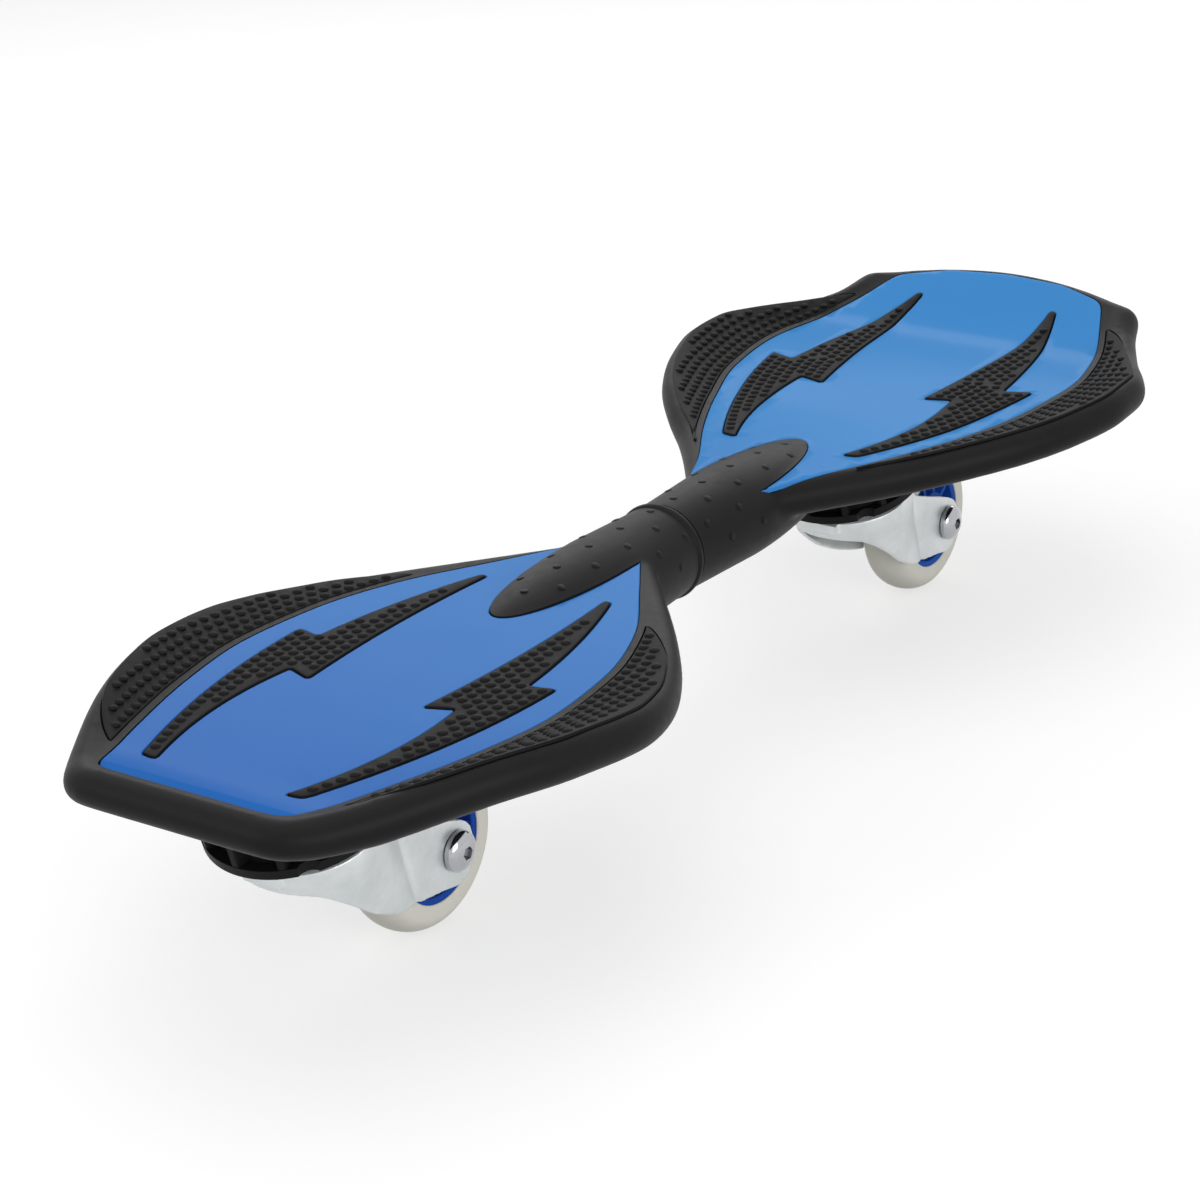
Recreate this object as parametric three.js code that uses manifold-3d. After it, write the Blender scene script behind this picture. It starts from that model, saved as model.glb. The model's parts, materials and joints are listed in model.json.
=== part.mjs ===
// Caster board: two foot decks joined by a twisting neck, on two trailing casters.
// Millimetres. +X runs from the front deck to the rear deck, +Z is up, the floor is z = 0.
import * as THREE from 'three';
import { mergeVertices } from 'three/addons/utils/BufferGeometryUtils.js';
import Module from 'manifold-3d';

const wasm = await Module();
wasm.setup();

const DEGREE = Math.PI / 180;

// Clearance kept between pieces that touch, and how far every cut runs past what it cuts.
const GAP = 0.3;
const OVERRUN = 200;

// Sides of large, small and least round pieces.
const ROUND = 36;
const COARSE = 20;
const NECK_SIDES = 24;
const LEAST = 12;

// Overall plan.
const FRONT_LENGTH = 330;
const REAR_LENGTH = 347;
const SEAM_X = -8.5;
const FRONT_HALF_WIDTH = 113.5;
const REAR_HALF_WIDTH = 125;
const FOOT_Z = 113;

// Deck outlines: shares of the deck length, front end to rear end, and of the half width.
const FRONT_OUTLINE_SHARES = [
  [0, 0.45], [0.052, 0.56], [0.105, 0.66], [0.158, 0.75], [0.23, 0.85], [0.345, 0.965],
  [0.45, 1], [0.517, 0.96], [0.588, 0.86], [0.691, 0.655], [0.803, 0.39], [0.874, 0.21],
];
const REAR_OUTLINE_SHARES = [
  [0.14, 0.16], [0.183, 0.23], [0.215, 0.29], [0.31, 0.49], [0.37, 0.645], [0.448, 0.815],
  [0.543, 0.945], [0.624, 1], [0.682, 0.995], [0.733, 0.935], [0.785, 0.85], [0.846, 0.76],
  [0.901, 0.685], [0.947, 0.645],
];

// Deck centre line: shares of the length, and of the kick over the foot level.
const NOSE_KICK = 5.5;
const TAIL_KICK = 30.5;
const FRONT_KICK_SHARES = [[0, 1.55], [0.038, 0.52], [0.062, 0.22], [0.117, 0], [0.69, 0], [1, 0.4]];
const REAR_KICK_SHARES = [
  [0, 0], [0.215, 0.033], [0.448, 0.092], [0.563, 0.174], [0.679, 0.236], [0.791, 0.282],
  [0.86, 0.435], [0.909, 0.615], [1, 1],
];

// Rise of the rim over the foot panel.
const RIM_RISE = 10;
const FRONT_RISE_SHARES = [
  [0, 0.07], [0.117, 0.76], [0.23, 1.04], [0.345, 0.84], [0.486, 0.37], [0.59, 0.15], [0.72, 0.1],
];
const REAR_RISE_SHARES = [
  [0.17, 0.02], [0.31, 0.3], [0.448, 0.75], [0.563, 0.89], [0.65, 1.01], [0.765, 0.92], [0.889, 0.33], [1, 0],
];

// Thickness at the middle and at the rim, and the roundings.
const DECK_THICKNESS = 17;
const RIM_THICKNESS = 18;
const RIM_RADIUS = 9;
const END_RADIUS = 6.5;
// The underside rises towards the nose, so that its edge is thinner.
const NOSE_THINNING = 3;
const NOSE_THIN_LENGTH = 40;
const ACROSS_SHARES = [0, 0.62, 0.76, 0.88, 1];
const RIM_ANGLES = [50, 0, -50];
const NOSE_STEP_SHARES = [0, 0.2, 1, 2.4];
const TAIL_STEP_SHARES = [1.2, 0.4, 0.07];
const FRONT_STATIONS = 17;
const REAR_STATIONS = 18;

// Foot panels: shares of the length and of the half width, closed by the neck tips.
const FRONT_PANEL_SHARES = [
  [0.038, 0.397], [0.167, 0.53], [0.288, 0.63], [0.409, 0.684], [0.53, 0.653], [0.652, 0.542], [0.773, 0.332],
];
const REAR_PANEL_SHARES = [
  [0.216, 0.236], [0.331, 0.411], [0.447, 0.556], [0.562, 0.66], [0.677, 0.694], [0.793, 0.639],
  [0.908, 0.519], [0.939, 0.48],
];
const REAR_PANEL_BOW_SHARES = [[0.973, 0.269], [0.981, 0]];
const PANEL_THICKNESS = 2;
const PANEL_SEAT = 0.4;
const PANEL_STEPS = 14;
const LAYER_STEPS = 14;
const LAYER_ROW_SHARES = [0, 0.45, 0.61, 0.73, 0.85, 1.06];

// Neck: an oval barrel that fades into each deck as a tongue.
const NECK_Z = 99.5;
const NECK_END_RADIUS = 21.5;
const NECK_HALF_WIDTH = 26.3;
const NECK_HALF_HEIGHT = 21.8;
const FRONT_NECK_LENGTH = 47;
const REAR_NECK_LENGTH = 51;
const FRONT_TONGUE = 78.5;
const REAR_TONGUE = 68.5;
const TONGUE_HALF_WIDTH = 19.6;
// How much of the barrel's plan shows above the panel.
const TONGUE_SHARE = 0.765;
const TONGUE_STEP_SHARES = [0, 0.2, 0.4, 0.6, 0.78, 0.9, 0.97];
const LIP_LENGTH = 6;
const LIP_PROUD = 1.2;
const LIP_SINK = 1;
const LIP_STEPS = 4;

// Lightning bolt grips on the +Y side: shares of the length and of the half width.
const FRONT_BOLT_SHARES = {
  blunt: [0.096, 0.275], bluntOuter: [0.099, 0.344], outerBump: [0.473, 0.568], outerNotch: [0.464, 0.465],
  tip: [0.727, 0.28], innerBump: [0.355, 0.25], innerNotch: [0.37, 0.364],
};
const REAR_BOLT_SHARES = {
  blunt: [0.314, 0.234], bluntOuter: [0.317, 0.296], outerBump: [0.631, 0.592], outerNotch: [0.617, 0.48],
  tip: [0.902, 0.31], innerBump: [0.548, 0.228], innerNotch: [0.559, 0.34],
};
const BOLT_BOW = 6;
const BOLT_INNER_BOW = 3;
const BOLT_STEPS = 3;
const BOLT_PROUD = 0.8;
const INSET_SIDES = 8;

// Side grip pads between the panel and the rim: spans as shares of the length.
const FRONT_PAD_SHARES = [0.105, 0.686];
const REAR_PAD_SHARES = [0.278, 0.878];
const PAD_FROM_PANEL = 3;
const PAD_FROM_RIM = 8;
const PAD_LEAST = 2.4;
const PAD_THICKNESS = 1.6;
const PAD_PROUD = 0.6;
const PAD_STEPS = 10;

// Underside pockets of the decks: spans as shares of the length.
const FRONT_POCKET_SHARES = [0.042, 0.783];
const REAR_POCKET_SHARES = [0.226, 0.924];
const POCKET_ROOF = 8;
const POCKET_RIM = 11;
const POCKET_STEPS = 10;
const POCKET_CLEAR = 4;
const SPINE_WIDTH = 10;
const RIB_WIDTH = 4;
const CROSS_RIB_PITCH = 48;
const CROSS_RIBS = 4;
const LONG_RIB_PLACE = 47;
const BOSS_RADIUS = 52;

// Caster mounts: wedges that tilt each kingpin so that the wheel trails.
const PIVOT_Z = 80;
const PIVOT_TILT = 15 * DEGREE;
const AXLE_BEHIND = 70;
const FRONT_PIVOT = 73;
const REAR_PIVOT = 162.5;
const MOUNT_TOP_Z = 95.2;
const MOUNT_RADIUS = 48;
const MOUNT_FLANGE = 4;
const MOUNT_ROOM = 2;
const BARREL_RADIUS = 38;
const GROOVE_DEPTH = 5;
const MOUNT_RIBS = 12;
const MOUNT_RIB_WIDTH = 3;
const MOUNT_FOOT = 4;
// No grooves where the wedge is thin: cosine of the angle from its thin side.
const THIN_SIDE_COSINE = 0.5;
const SCREW_ANGLES = [45, 135, 225, 315];
const SCREW_CIRCLE = 40;
const SCREW_RADIUS = 2.6;
const SCREW_LENGTH = 11;
const SCREW_HOLE_LENGTH = 13;
const SCREW_HEAD_RADIUS = 4.6;
const SCREW_HEAD_HEIGHT = 2.6;

// Swivel: race plate, ball ring, kingpin and its nut.
const RACE_RADIUS = 27;
const RACE_THICKNESS = 2.5;
const BALL_RING_RADIUS = 21;
const BALL_RADIUS = 1.9;
const BALL_SIDES = 6;
const KINGPIN_RADIUS = 5;
const KINGPIN_HEAD_RADIUS = 9;
const KINGPIN_HEAD_HEIGHT = 5;
const KINGPIN_SEAT = 4;
const KINGPIN_PROUD = 2;
const KING_NUT_RADIUS = 8;
const KING_NUT_HEIGHT = 6.5;
const HEXAGON = 6;

// Fork: a stamped sheet with a round crown, a wrapped front and two legs.
const FORK_SHEET = 3;
const FORK_HALF_WIDTH = 19.5;
const FORK_TOP_RADIUS = 31;
const FORK_CONE_DEPTH = 16;
const FORK_FRONT = 19;
const FRONT_BOW_SHARE = 1.3;
const FORK_BOW_STEPS = 8;
const EAR_RADIUS = 12.5;
const EAR_STEPS = 6;
const EAR_ANGLES = [58, -100];
const LIP_REACH = 36;
const LIP_ROOT = 20;
const LIP_HALF_WIDTH = 15;
const LIP_DROP = 8;
// Leg edges between kingpin and axle: shares of the trail and of the drop.
const LEG_UPPER_SHARES = [[0.52, 0.42], [0.77, 0.59], [0.96, 0.71]];
const LEG_LOWER_SHARES = [
  [0.72, 1.17], [0.47, 1.12], [0.22, 1.02], [0.01, 0.81], [-0.16, 0.56], [-0.34, 0.35], [-1.1, 0.27],
];

// Wheel, bearings and axle.
const WHEEL_RADIUS = 38;
const WHEEL_SIDES = 36;
const TREAD_WIDTH = 24;
const TREAD_INNER = 26.5;
const TREAD_ROUND = 8;
const TREAD_STEPS = 6;
const HUB_INSET = 1;
const HUB_RIM = 4;
const HUB_BOSS_RADIUS = 14;
const HUB_BORE_RADIUS = 8;
const WEB_THICKNESS = 6;
const SPOKES = 5;
const SPOKE_HOLE_RADIUS = 3.6;
const BEARING_RADIUS = 11;
const BEARING_WIDTH = 7;
const AXLE_RADIUS = 3.9;
const AXLE_PROUD = 7;
const AXLE_HEAD_RADIUS = 8.8;
const AXLE_HEAD_RIM = 2;
const AXLE_HEAD_DOME = 4;
const DOME_STEPS = 3;
const SOCKET_RADIUS = 3;
const SOCKET_DEPTH = 3;
const AXLE_NUT_RADIUS = 7;
const AXLE_NUT_HEIGHT = 6;
const SPACER_WALL = 2.6;
const WASHER_WALL = 3;

// Twist bearing inside the neck.
const BORE_RADIUS = 15.5;
const BORE_REACH = 96;
const TUBE_RADIUS = 12;
const TUBE_WALL = 2.2;
const TUBE_REACH = 74;
const BUSH_LENGTH = 16;
const BUSH_NEAR = 5;
const BUSH_FAR = 52;
const BAR_RADIUS = 5;
const BAR_REACH = 92;
const ANCHOR_LENGTH = 16;
const ANCHOR_PROUD = 1;

const LOOKS = {
  deck: { color: 0x2c2b2d, roughness: 0.62, metalness: 0 },
  panel: { color: 0x2f74bd, roughness: 0.18, metalness: 0.1 },
  grip: { color: 0x1f1e20, roughness: 0.8, metalness: 0 },
  mount: { color: 0x1b1a1b, roughness: 0.6, metalness: 0 },
  zinc: { color: 0xc9d0d2, roughness: 0.34, metalness: 0.9 },
  chrome: { color: 0xd8dadc, roughness: 0.12, metalness: 1 },
  steel: { color: 0x8d8f92, roughness: 0.4, metalness: 0.9 },
  tread: { color: 0xe6e0cc, roughness: 0.35, metalness: 0 },
  hub: { color: 0x1d4f9e, roughness: 0.35, metalness: 0 },
  bush: { color: 0xd9d6cb, roughness: 0.6, metalness: 0 },
};

// Turns for solids drawn about Z: onto X, and onto Y.
const ONTO_X = [0, 90, 0];
const ONTO_Y = [-90, 0, 0];

// Even steps from one value to another, both ends included.
function steps(from, to, count) {
  return Array.from({ length: count + 1 }, (unused, i) => from + ((to - from) * i) / count);
}

// Even angles round a circle, in radians.
function around(count) {
  return steps(0, 2 * Math.PI, count).slice(0, count);
}

// Monotone cubic through [x, value] points, flat beyond both ends.
function curve(points) {
  const last = points.length - 1;
  const slope = (i) => (points[i + 1][1] - points[i][1]) / (points[i + 1][0] - points[i][0]);
  const tangents = points.map((point, i) => {
    if (i === 0 || i === last) return slope(Math.min(i, last - 1));
    const before = slope(i - 1);
    const after = slope(i);
    return before * after <= 0 ? 0 : (2 * before * after) / (before + after);
  });
  return (x) => {
    if (x <= points[0][0]) return points[0][1];
    if (x >= points[last][0]) return points[last][1];
    const i = points.findIndex((point) => point[0] > x) - 1;
    const width = points[i + 1][0] - points[i][0];
    const t = (x - points[i][0]) / width;
    const ease = t * t * (3 - 2 * t);
    const lead = t * (1 - t) * (1 - t) * tangents[i];
    const trail = t * t * (t - 1) * tangents[i + 1];
    return points[i][1] * (1 - ease) + points[i + 1][1] * ease + (lead + trail) * width;
  };
}

// A closed mesh as a solid, its faces turned outward.
function solidOf(geometry) {
  const bare = geometry.clone();
  bare.deleteAttribute('normal');
  bare.deleteAttribute('uv');
  const merged = mergeVertices(bare, 1e-4);
  const corners = new Uint32Array(merged.index.array);
  const solid = (triVerts) => new wasm.Manifold(new wasm.Mesh({
    numProp: 3,
    vertProperties: new Float32Array(merged.attributes.position.array),
    triVerts,
  }));
  const made = solid(corners);
  return made.volume() < 0 ? solid(corners.reverse()) : made;
}

function geometryOf(solid) {
  const mesh = solid.getMesh();
  const geometry = new THREE.BufferGeometry();
  geometry.setAttribute('position', new THREE.BufferAttribute(mesh.vertProperties, mesh.numProp));
  geometry.setIndex(new THREE.BufferAttribute(mesh.triVerts, 1));
  geometry.computeVertexNormals();
  return geometry;
}

function indexed(positions, index) {
  const geometry = new THREE.BufferGeometry();
  geometry.setAttribute('position', new THREE.Float32BufferAttribute(positions, 3));
  geometry.setIndex(index);
  return solidOf(geometry);
}

function joined(solids) {
  return solids.reduce((sum, solid) => sum.add(solid));
}

// A closed skin over rings of points that all have the same count.
function loft(rings) {
  const count = rings[0].length;
  const end = (rings.length - 1) * count;
  const centre = rings.length * count;
  const index = [];
  rings.slice(1).forEach((unused, i) => around(count).forEach((angle, j) => {
    const a = i * count + j;
    const b = i * count + ((j + 1) % count);
    index.push(a, b, a + count, b, b + count, a + count);
  }));
  around(count).forEach((angle, j) => {
    const next = (j + 1) % count;
    index.push(centre, next, j, centre + 1, end + j, end + next);
  });
  const middle = (ring) => [0, 1, 2].map((axis) => ring.reduce((sum, p) => sum + p[axis], 0) / count);
  const points = [...rings.flat(), middle(rings[0]), middle(rings[rings.length - 1])];
  return indexed(points.flat(), index);
}

// A slab between two height functions over a plan rectangle.
function slab(xs, ys, lower, upper) {
  const wide = ys.length;
  const top = xs.length * wide;
  const plan = xs.flatMap((x) => ys.map((y) => [x, y]));
  const positions = [
    ...plan.flatMap(([x, y]) => [x, y, lower(x, y)]),
    ...plan.flatMap(([x, y]) => [x, y, upper(x, y)]),
  ];
  const index = [];
  const wall = (a, b) => index.push(a, b, top + a, b, top + b, top + a);
  for (let i = 0; i < xs.length - 1; i += 1) {
    for (let j = 0; j < wide - 1; j += 1) {
      const a = i * wide + j;
      const b = a + 1;
      const c = a + wide;
      const d = c + 1;
      index.push(a, b, c, b, d, c, top + a, top + c, top + b, top + b, top + c, top + d);
    }
    wall(i * wide, (i + 1) * wide);
    wall((i + 2) * wide - 1, (i + 1) * wide - 1);
  }
  for (let j = 0; j < wide - 1; j += 1) {
    wall(j + 1, j);
    wall(top - wide + j, top - wide + j + 1);
  }
  return indexed(positions, index);
}

// A plan outline drawn up from the floor through the whole board.
function prism(points) {
  const shape = new THREE.Shape(points.map(([x, y]) => new THREE.Vector2(x, y)));
  return solidOf(new THREE.ExtrudeGeometry(shape, { depth: OVERRUN, bevelEnabled: false }));
}

// The same, drawn in on every side by the usual clearance.
function drawnIn(plan) {
  const body = prism(plan);
  return around(INSET_SIDES).map((t) => body.translate([GAP * Math.cos(t), GAP * Math.sin(t), 0]))
    .reduce((kept, next) => kept.intersect(next));
}

// A side outline [x, z] drawn across y, centred.
function crossways(points) {
  const shape = new THREE.Shape(points.map(([x, z]) => new THREE.Vector2(x, z)));
  const geometry = new THREE.ExtrudeGeometry(shape, { depth: OVERRUN, bevelEnabled: false });
  return solidOf(geometry.translate(0, 0, -OVERRUN / 2).rotateX(Math.PI / 2));
}

// A turned solid about Z from a closed profile of [radius, z] points.
function turned(profile, segments = ROUND) {
  const points = [...profile, profile[0]].map(([r, z]) => new THREE.Vector2(r, z));
  return solidOf(new THREE.LatheGeometry(points, segments).rotateX(Math.PI / 2));
}

function ring(inner, outer, low, high, segments = COARSE) {
  return turned([[inner, low], [outer, low], [outer, high], [inner, high]], segments);
}

function rod(radius, low, high, segments = COARSE) {
  const geometry = new THREE.CylinderGeometry(radius, radius, high - low, segments);
  return solidOf(geometry.rotateX(Math.PI / 2).translate(0, 0, (low + high) / 2));
}

// A box from its low corner to its high corner.
function box(low, high) {
  const size = high.map((value, i) => value - low[i]);
  const middle = high.map((value, i) => (value + low[i]) / 2);
  return solidOf(new THREE.BoxGeometry(...size).translate(...middle));
}

function mesh(name, solid, look) {
  const piece = new THREE.Mesh(geometryOf(solid), new THREE.MeshStandardMaterial(LOOKS[look]));
  piece.name = name;
  return piece;
}

// One deck worked out from its shares: outline, panel and height functions.
function deckForm(spec) {
  const start = spec.side < 0 ? SEAM_X - spec.length : SEAM_X;
  const at = (share) => start + spec.length * share;
  const sized = (rows, unit, lift = 0) => curve(rows.map(([x, value]) => [at(x), lift + value * unit]));
  const base = SEAM_X + spec.side * spec.neck;
  const tip = [(base - start) / spec.length, TONGUE_HALF_WIDTH / spec.half];
  const panelRows = spec.side < 0 ? [...spec.panelShares, tip] : [tip, ...spec.panelShares];
  const width = sized(spec.outlineShares, spec.half);
  const panel = sized(panelRows, spec.half);
  const centre = sized(spec.kickShares, spec.kick, FOOT_Z);
  const rise = sized(spec.riseShares, RIM_RISE);
  const top = (x, y) => {
    const edge = panel(x);
    const share = Math.min(Math.max((Math.abs(y) - edge) / (width(x) - edge), 0), 1);
    return centre(x) + rise(x) * share * share * (3 - 2 * share);
  };
  return {
    ...spec, at, width, panel, top, base,
    end: SEAM_X + spec.side * spec.length,
    seam: SEAM_X + spec.side * GAP,
    pivotX: start + spec.pivot,
    outlineStart: at(spec.outlineShares[0][0]),
    outlineEnd: at(spec.outlineShares[spec.outlineShares.length - 1][0]),
    panelXs: [panelRows[0], panelRows[panelRows.length - 1]].map(([x]) => at(x)),
  };
}

const front = deckForm({
  side: -1, length: FRONT_LENGTH, half: FRONT_HALF_WIDTH, kick: NOSE_KICK, outlineShares: FRONT_OUTLINE_SHARES,
  kickShares: FRONT_KICK_SHARES, riseShares: FRONT_RISE_SHARES, panelShares: FRONT_PANEL_SHARES, bowShares: [],
  neck: FRONT_NECK_LENGTH, tongue: FRONT_TONGUE, boltShares: FRONT_BOLT_SHARES, padShares: FRONT_PAD_SHARES,
  pocketShares: FRONT_POCKET_SHARES, pivot: FRONT_PIVOT,
});
const rear = deckForm({
  side: 1, length: REAR_LENGTH, half: REAR_HALF_WIDTH, kick: TAIL_KICK, outlineShares: REAR_OUTLINE_SHARES,
  kickShares: REAR_KICK_SHARES, riseShares: REAR_RISE_SHARES, panelShares: REAR_PANEL_SHARES,
  bowShares: REAR_PANEL_BOW_SHARES, neck: REAR_NECK_LENGTH, tongue: REAR_TONGUE, boltShares: REAR_BOLT_SHARES,
  padShares: REAR_PAD_SHARES, pocketShares: REAR_POCKET_SHARES, pivot: REAR_PIVOT,
});

// Half width of the deck, with the bowed tail edge on the rear one.
function halfWidth(form, x) {
  if (form.side < 0 || x <= form.outlineEnd) return form.width(x);
  return form.width(form.outlineEnd) * Math.sqrt((form.end - x) / (form.end - form.outlineEnd));
}

// One cross-section ring of a deck at x.
function deckRing(form, x) {
  const depth = Math.max(END_RADIUS - Math.abs(form.end - x), 0);
  const tuck = END_RADIUS - Math.sqrt(END_RADIUS * END_RADIUS - depth * depth);
  const half = halfWidth(form, x) - tuck / 2;
  const radius = Math.min(RIM_RADIUS - tuck, half / 2);
  const flat = half - radius;
  const across = ACROSS_SHARES.map((share) => share * flat);
  const nearNose = Math.max(1 - (x - front.end) / NOSE_THIN_LENGTH, 0);
  const thinning = NOSE_THINNING * nearNose;
  const rimHalf = (RIM_THICKNESS - thinning) / 2 - tuck;
  const edge = form.top(x, flat) - (RIM_THICKNESS - thinning) / 2;
  const floor = form.top(x, 0) - DECK_THICKNESS + thinning + tuck;
  const over = across.map((y) => [x, y, form.top(x, y) - tuck]);
  const rim = RIM_ANGLES.map((angle) => angle * DEGREE)
    .map((a) => [x, flat + radius * Math.cos(a), edge + rimHalf * Math.sin(a)]);
  const under = [[x, flat, edge - rimHalf], [x, across[1], floor], [x, 0, floor]];
  const right = [...over, ...rim, ...under];
  const left = right.slice(1, -1).reverse().map(([px, py, pz]) => [px, -py, pz]);
  return [...right, ...left];
}

function deckStations(form) {
  if (form.side < 0) {
    const ends = NOSE_STEP_SHARES.map((share) => form.end + share * END_RADIUS);
    return [...ends.slice(0, -1), ...steps(ends[ends.length - 1], form.outlineEnd, FRONT_STATIONS)];
  }
  const ends = TAIL_STEP_SHARES.map((share) => form.end - share * END_RADIUS);
  return [...steps(form.outlineStart, form.outlineEnd, REAR_STATIONS), ...ends];
}

// Neck barrel: round at the seam, oval at its base, then a tongue that sinks into the deck.
function neckBarrel(form, grow) {
  const reach = form.tongue / TONGUE_SHARE;
  const ringAt = (x, wide, high) => around(NECK_SIDES)
    .map((t) => [x, (wide + grow) * Math.cos(t), NECK_Z + (high + grow) * Math.sin(t)]);
  const tongue = TONGUE_STEP_SHARES.map((share) => {
    const scale = Math.sqrt(1 - share * share);
    return ringAt(form.base + form.side * reach * share, NECK_HALF_WIDTH * scale, NECK_HALF_HEIGHT * scale);
  });
  const rings = [ringAt(form.seam, NECK_END_RADIUS, NECK_END_RADIUS), ...tongue];
  return loft(form.side < 0 ? rings.reverse() : rings);
}

// The rounded collar at the seam of the front half.
function seamLip() {
  const root = NECK_END_RADIUS - LIP_SINK;
  const round = steps(0, Math.PI, LIP_STEPS).map((t) => [
    root + (LIP_PROUD + LIP_SINK) * Math.sin(t), -(LIP_LENGTH / 2) * (1 - Math.cos(t)),
  ]);
  return turned([[BORE_RADIUS, 0], ...round, [BORE_RADIUS, -LIP_LENGTH]], NECK_SIDES)
    .rotate(ONTO_X).translate([front.seam, 0, NECK_Z]);
}

// Plan outline of the foot panel, neck tips first on the rear deck.
function panelPlan(form) {
  const line = steps(...form.panelXs, PANEL_STEPS).map((x) => [x, form.panel(x)]);
  const bow = form.bowShares.map(([x, y]) => [form.at(x), y * form.half]);
  const upper = [...line, ...bow];
  const lower = upper.filter(([, y]) => y > 0).reverse().map(([x, y]) => [x, -y]);
  return [...upper, ...lower];
}

function tonguePlan(form, grow) {
  return around(NECK_SIDES).map((t) => [
    form.base + (form.tongue + grow) * Math.cos(t), (TONGUE_HALF_WIDTH + grow) * Math.sin(t),
  ]);
}

// Points from one place to another, bowed sideways by an offset in y.
function bowed(from, to, offset) {
  return steps(0, 1, BOLT_STEPS).slice(0, BOLT_STEPS).map((t) => [
    from[0] + (to[0] - from[0]) * t,
    from[1] + (to[1] - from[1]) * t + 4 * offset * t * (1 - t),
  ]);
}

function boltPlan(form, mirror) {
  const place = Object.fromEntries(Object.entries(form.boltShares)
    .map(([name, [x, y]]) => [name, [form.at(x), y * form.half]]));
  const points = [
    ...bowed(place.bluntOuter, place.outerBump, BOLT_BOW),
    place.outerBump,
    ...bowed(place.outerNotch, place.tip, BOLT_INNER_BOW),
    ...bowed(place.tip, place.innerBump, BOLT_INNER_BOW),
    place.innerBump,
    ...bowed(place.innerNotch, place.blunt, BOLT_BOW),
    place.blunt,
  ];
  return points.map(([x, y]) => [x, mirror * y]);
}

function padPlan(form, mirror) {
  const xs = steps(...form.padShares.map(form.at), PAD_STEPS);
  const inner = (x) => form.panel(x) + PAD_FROM_PANEL;
  const outer = (x) => Math.max(form.width(x) - PAD_FROM_RIM, inner(x) + PAD_LEAST);
  const up = xs.map((x) => [x, mirror * inner(x)]);
  const down = xs.map((x) => [x, mirror * outer(x)]).reverse();
  return [...up, ...down];
}

// The layer of the deck between two depths, measured up from its top face.
function layer(form, low, high) {
  const half = LAYER_ROW_SHARES.map((share) => share * form.half);
  const rows = [...half.slice(1).reverse().map((y) => -y), ...half];
  const xs = form.side < 0 ? [form.end, form.outlineEnd] : [form.outlineStart, form.end];
  const at = (depth) => (x, y) => form.top(x, y) + depth;
  return slab(steps(...xs, LAYER_STEPS), rows, at(low), at(high));
}

function pocketCutter(form) {
  const [from, to] = form.pocketShares.map(form.at);
  const xs = steps(from, to, POCKET_STEPS);
  const plan = [
    ...xs.map((x) => [x, form.width(x) - POCKET_RIM]),
    ...[...xs].reverse().map((x) => [x, POCKET_RIM - form.width(x)]),
  ];
  const roof = slab(xs, [-OVERRUN, OVERRUN], () => 0, (x) => form.top(x, 0) - POCKET_ROOF);
  const cross = steps(-CROSS_RIBS, CROSS_RIBS, 2 * CROSS_RIBS).map((i) => form.pivotX + i * CROSS_RIB_PITCH)
    .map((x) => box([x - RIB_WIDTH / 2, -OVERRUN, 0], [x + RIB_WIDTH / 2, OVERRUN, OVERRUN]));
  const along = [[0, SPINE_WIDTH], [-LONG_RIB_PLACE, RIB_WIDTH], [LONG_RIB_PLACE, RIB_WIDTH]]
    .map(([y, width]) => box([from, y - width / 2, 0], [to, y + width / 2, OVERRUN]));
  const boss = rod(BOSS_RADIUS + POCKET_CLEAR, 0, OVERRUN).translate([form.pivotX, 0, 0]);
  const kept = [...cross, ...along, boss, neckBarrel(form, POCKET_CLEAR)];
  return kept.reduce((cutter, rib) => cutter.subtract(rib), roof.intersect(prism(plan)));
}

function screwPlaces(form) {
  return SCREW_ANGLES.map((angle) => [
    form.pivotX + SCREW_CIRCLE * Math.cos(angle * DEGREE), SCREW_CIRCLE * Math.sin(angle * DEGREE),
  ]);
}

function deckSolid(form) {
  const shell = loft(deckStations(form).map((x) => deckRing(form, x)));
  const boss = rod(BOSS_RADIUS, MOUNT_TOP_Z + GAP, form.top(form.pivotX, 0) - POCKET_ROOF)
    .translate([form.pivotX, 0, 0]);
  const parts = [shell.subtract(pocketCutter(form)), boss, neckBarrel(form, 0)];
  if (form.side < 0) parts.push(seamLip());
  const recess = layer(form, -PANEL_THICKNESS - PANEL_SEAT, OVERRUN)
    .intersect(prism(panelPlan(form))).subtract(prism(tonguePlan(form, 0)));
  const padRecess = [-1, 1].map((mirror) => layer(form, -PAD_THICKNESS, OVERRUN)
    .intersect(prism(padPlan(form, mirror))));
  const mountRoom = rod(MOUNT_RADIUS + MOUNT_ROOM, 0, MOUNT_TOP_Z + GAP).translate([form.pivotX, 0, 0]);
  const bore = rod(BORE_RADIUS, -BORE_REACH, BORE_REACH).rotate(ONTO_X).translate([SEAM_X, 0, NECK_Z]);
  const screws = screwPlaces(form).map(([x, y]) => rod(SCREW_RADIUS + GAP, 0, SCREW_HOLE_LENGTH, LEAST)
    .translate([x, y, MOUNT_TOP_Z - MOUNT_FLANGE]));
  return joined(parts).subtract(joined([recess, ...padRecess, mountRoom])).subtract(joined([bore, ...screws]));
}

function panelSolid(form) {
  const face = layer(form, -PANEL_THICKNESS, 0)
    .intersect(drawnIn(panelPlan(form))).subtract(prism(tonguePlan(form, GAP)));
  return [-1, 1].reduce((kept, mirror) => kept.subtract(prism(boltPlan(form, mirror))), face);
}

function boltSolid(form, mirror) {
  return layer(form, -PANEL_THICKNESS, BOLT_PROUD).intersect(drawnIn(boltPlan(form, mirror)));
}

function padSolid(form, mirror) {
  return layer(form, GAP - PAD_THICKNESS, PAD_PROUD).intersect(drawnIn(padPlan(form, mirror)));
}

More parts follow.
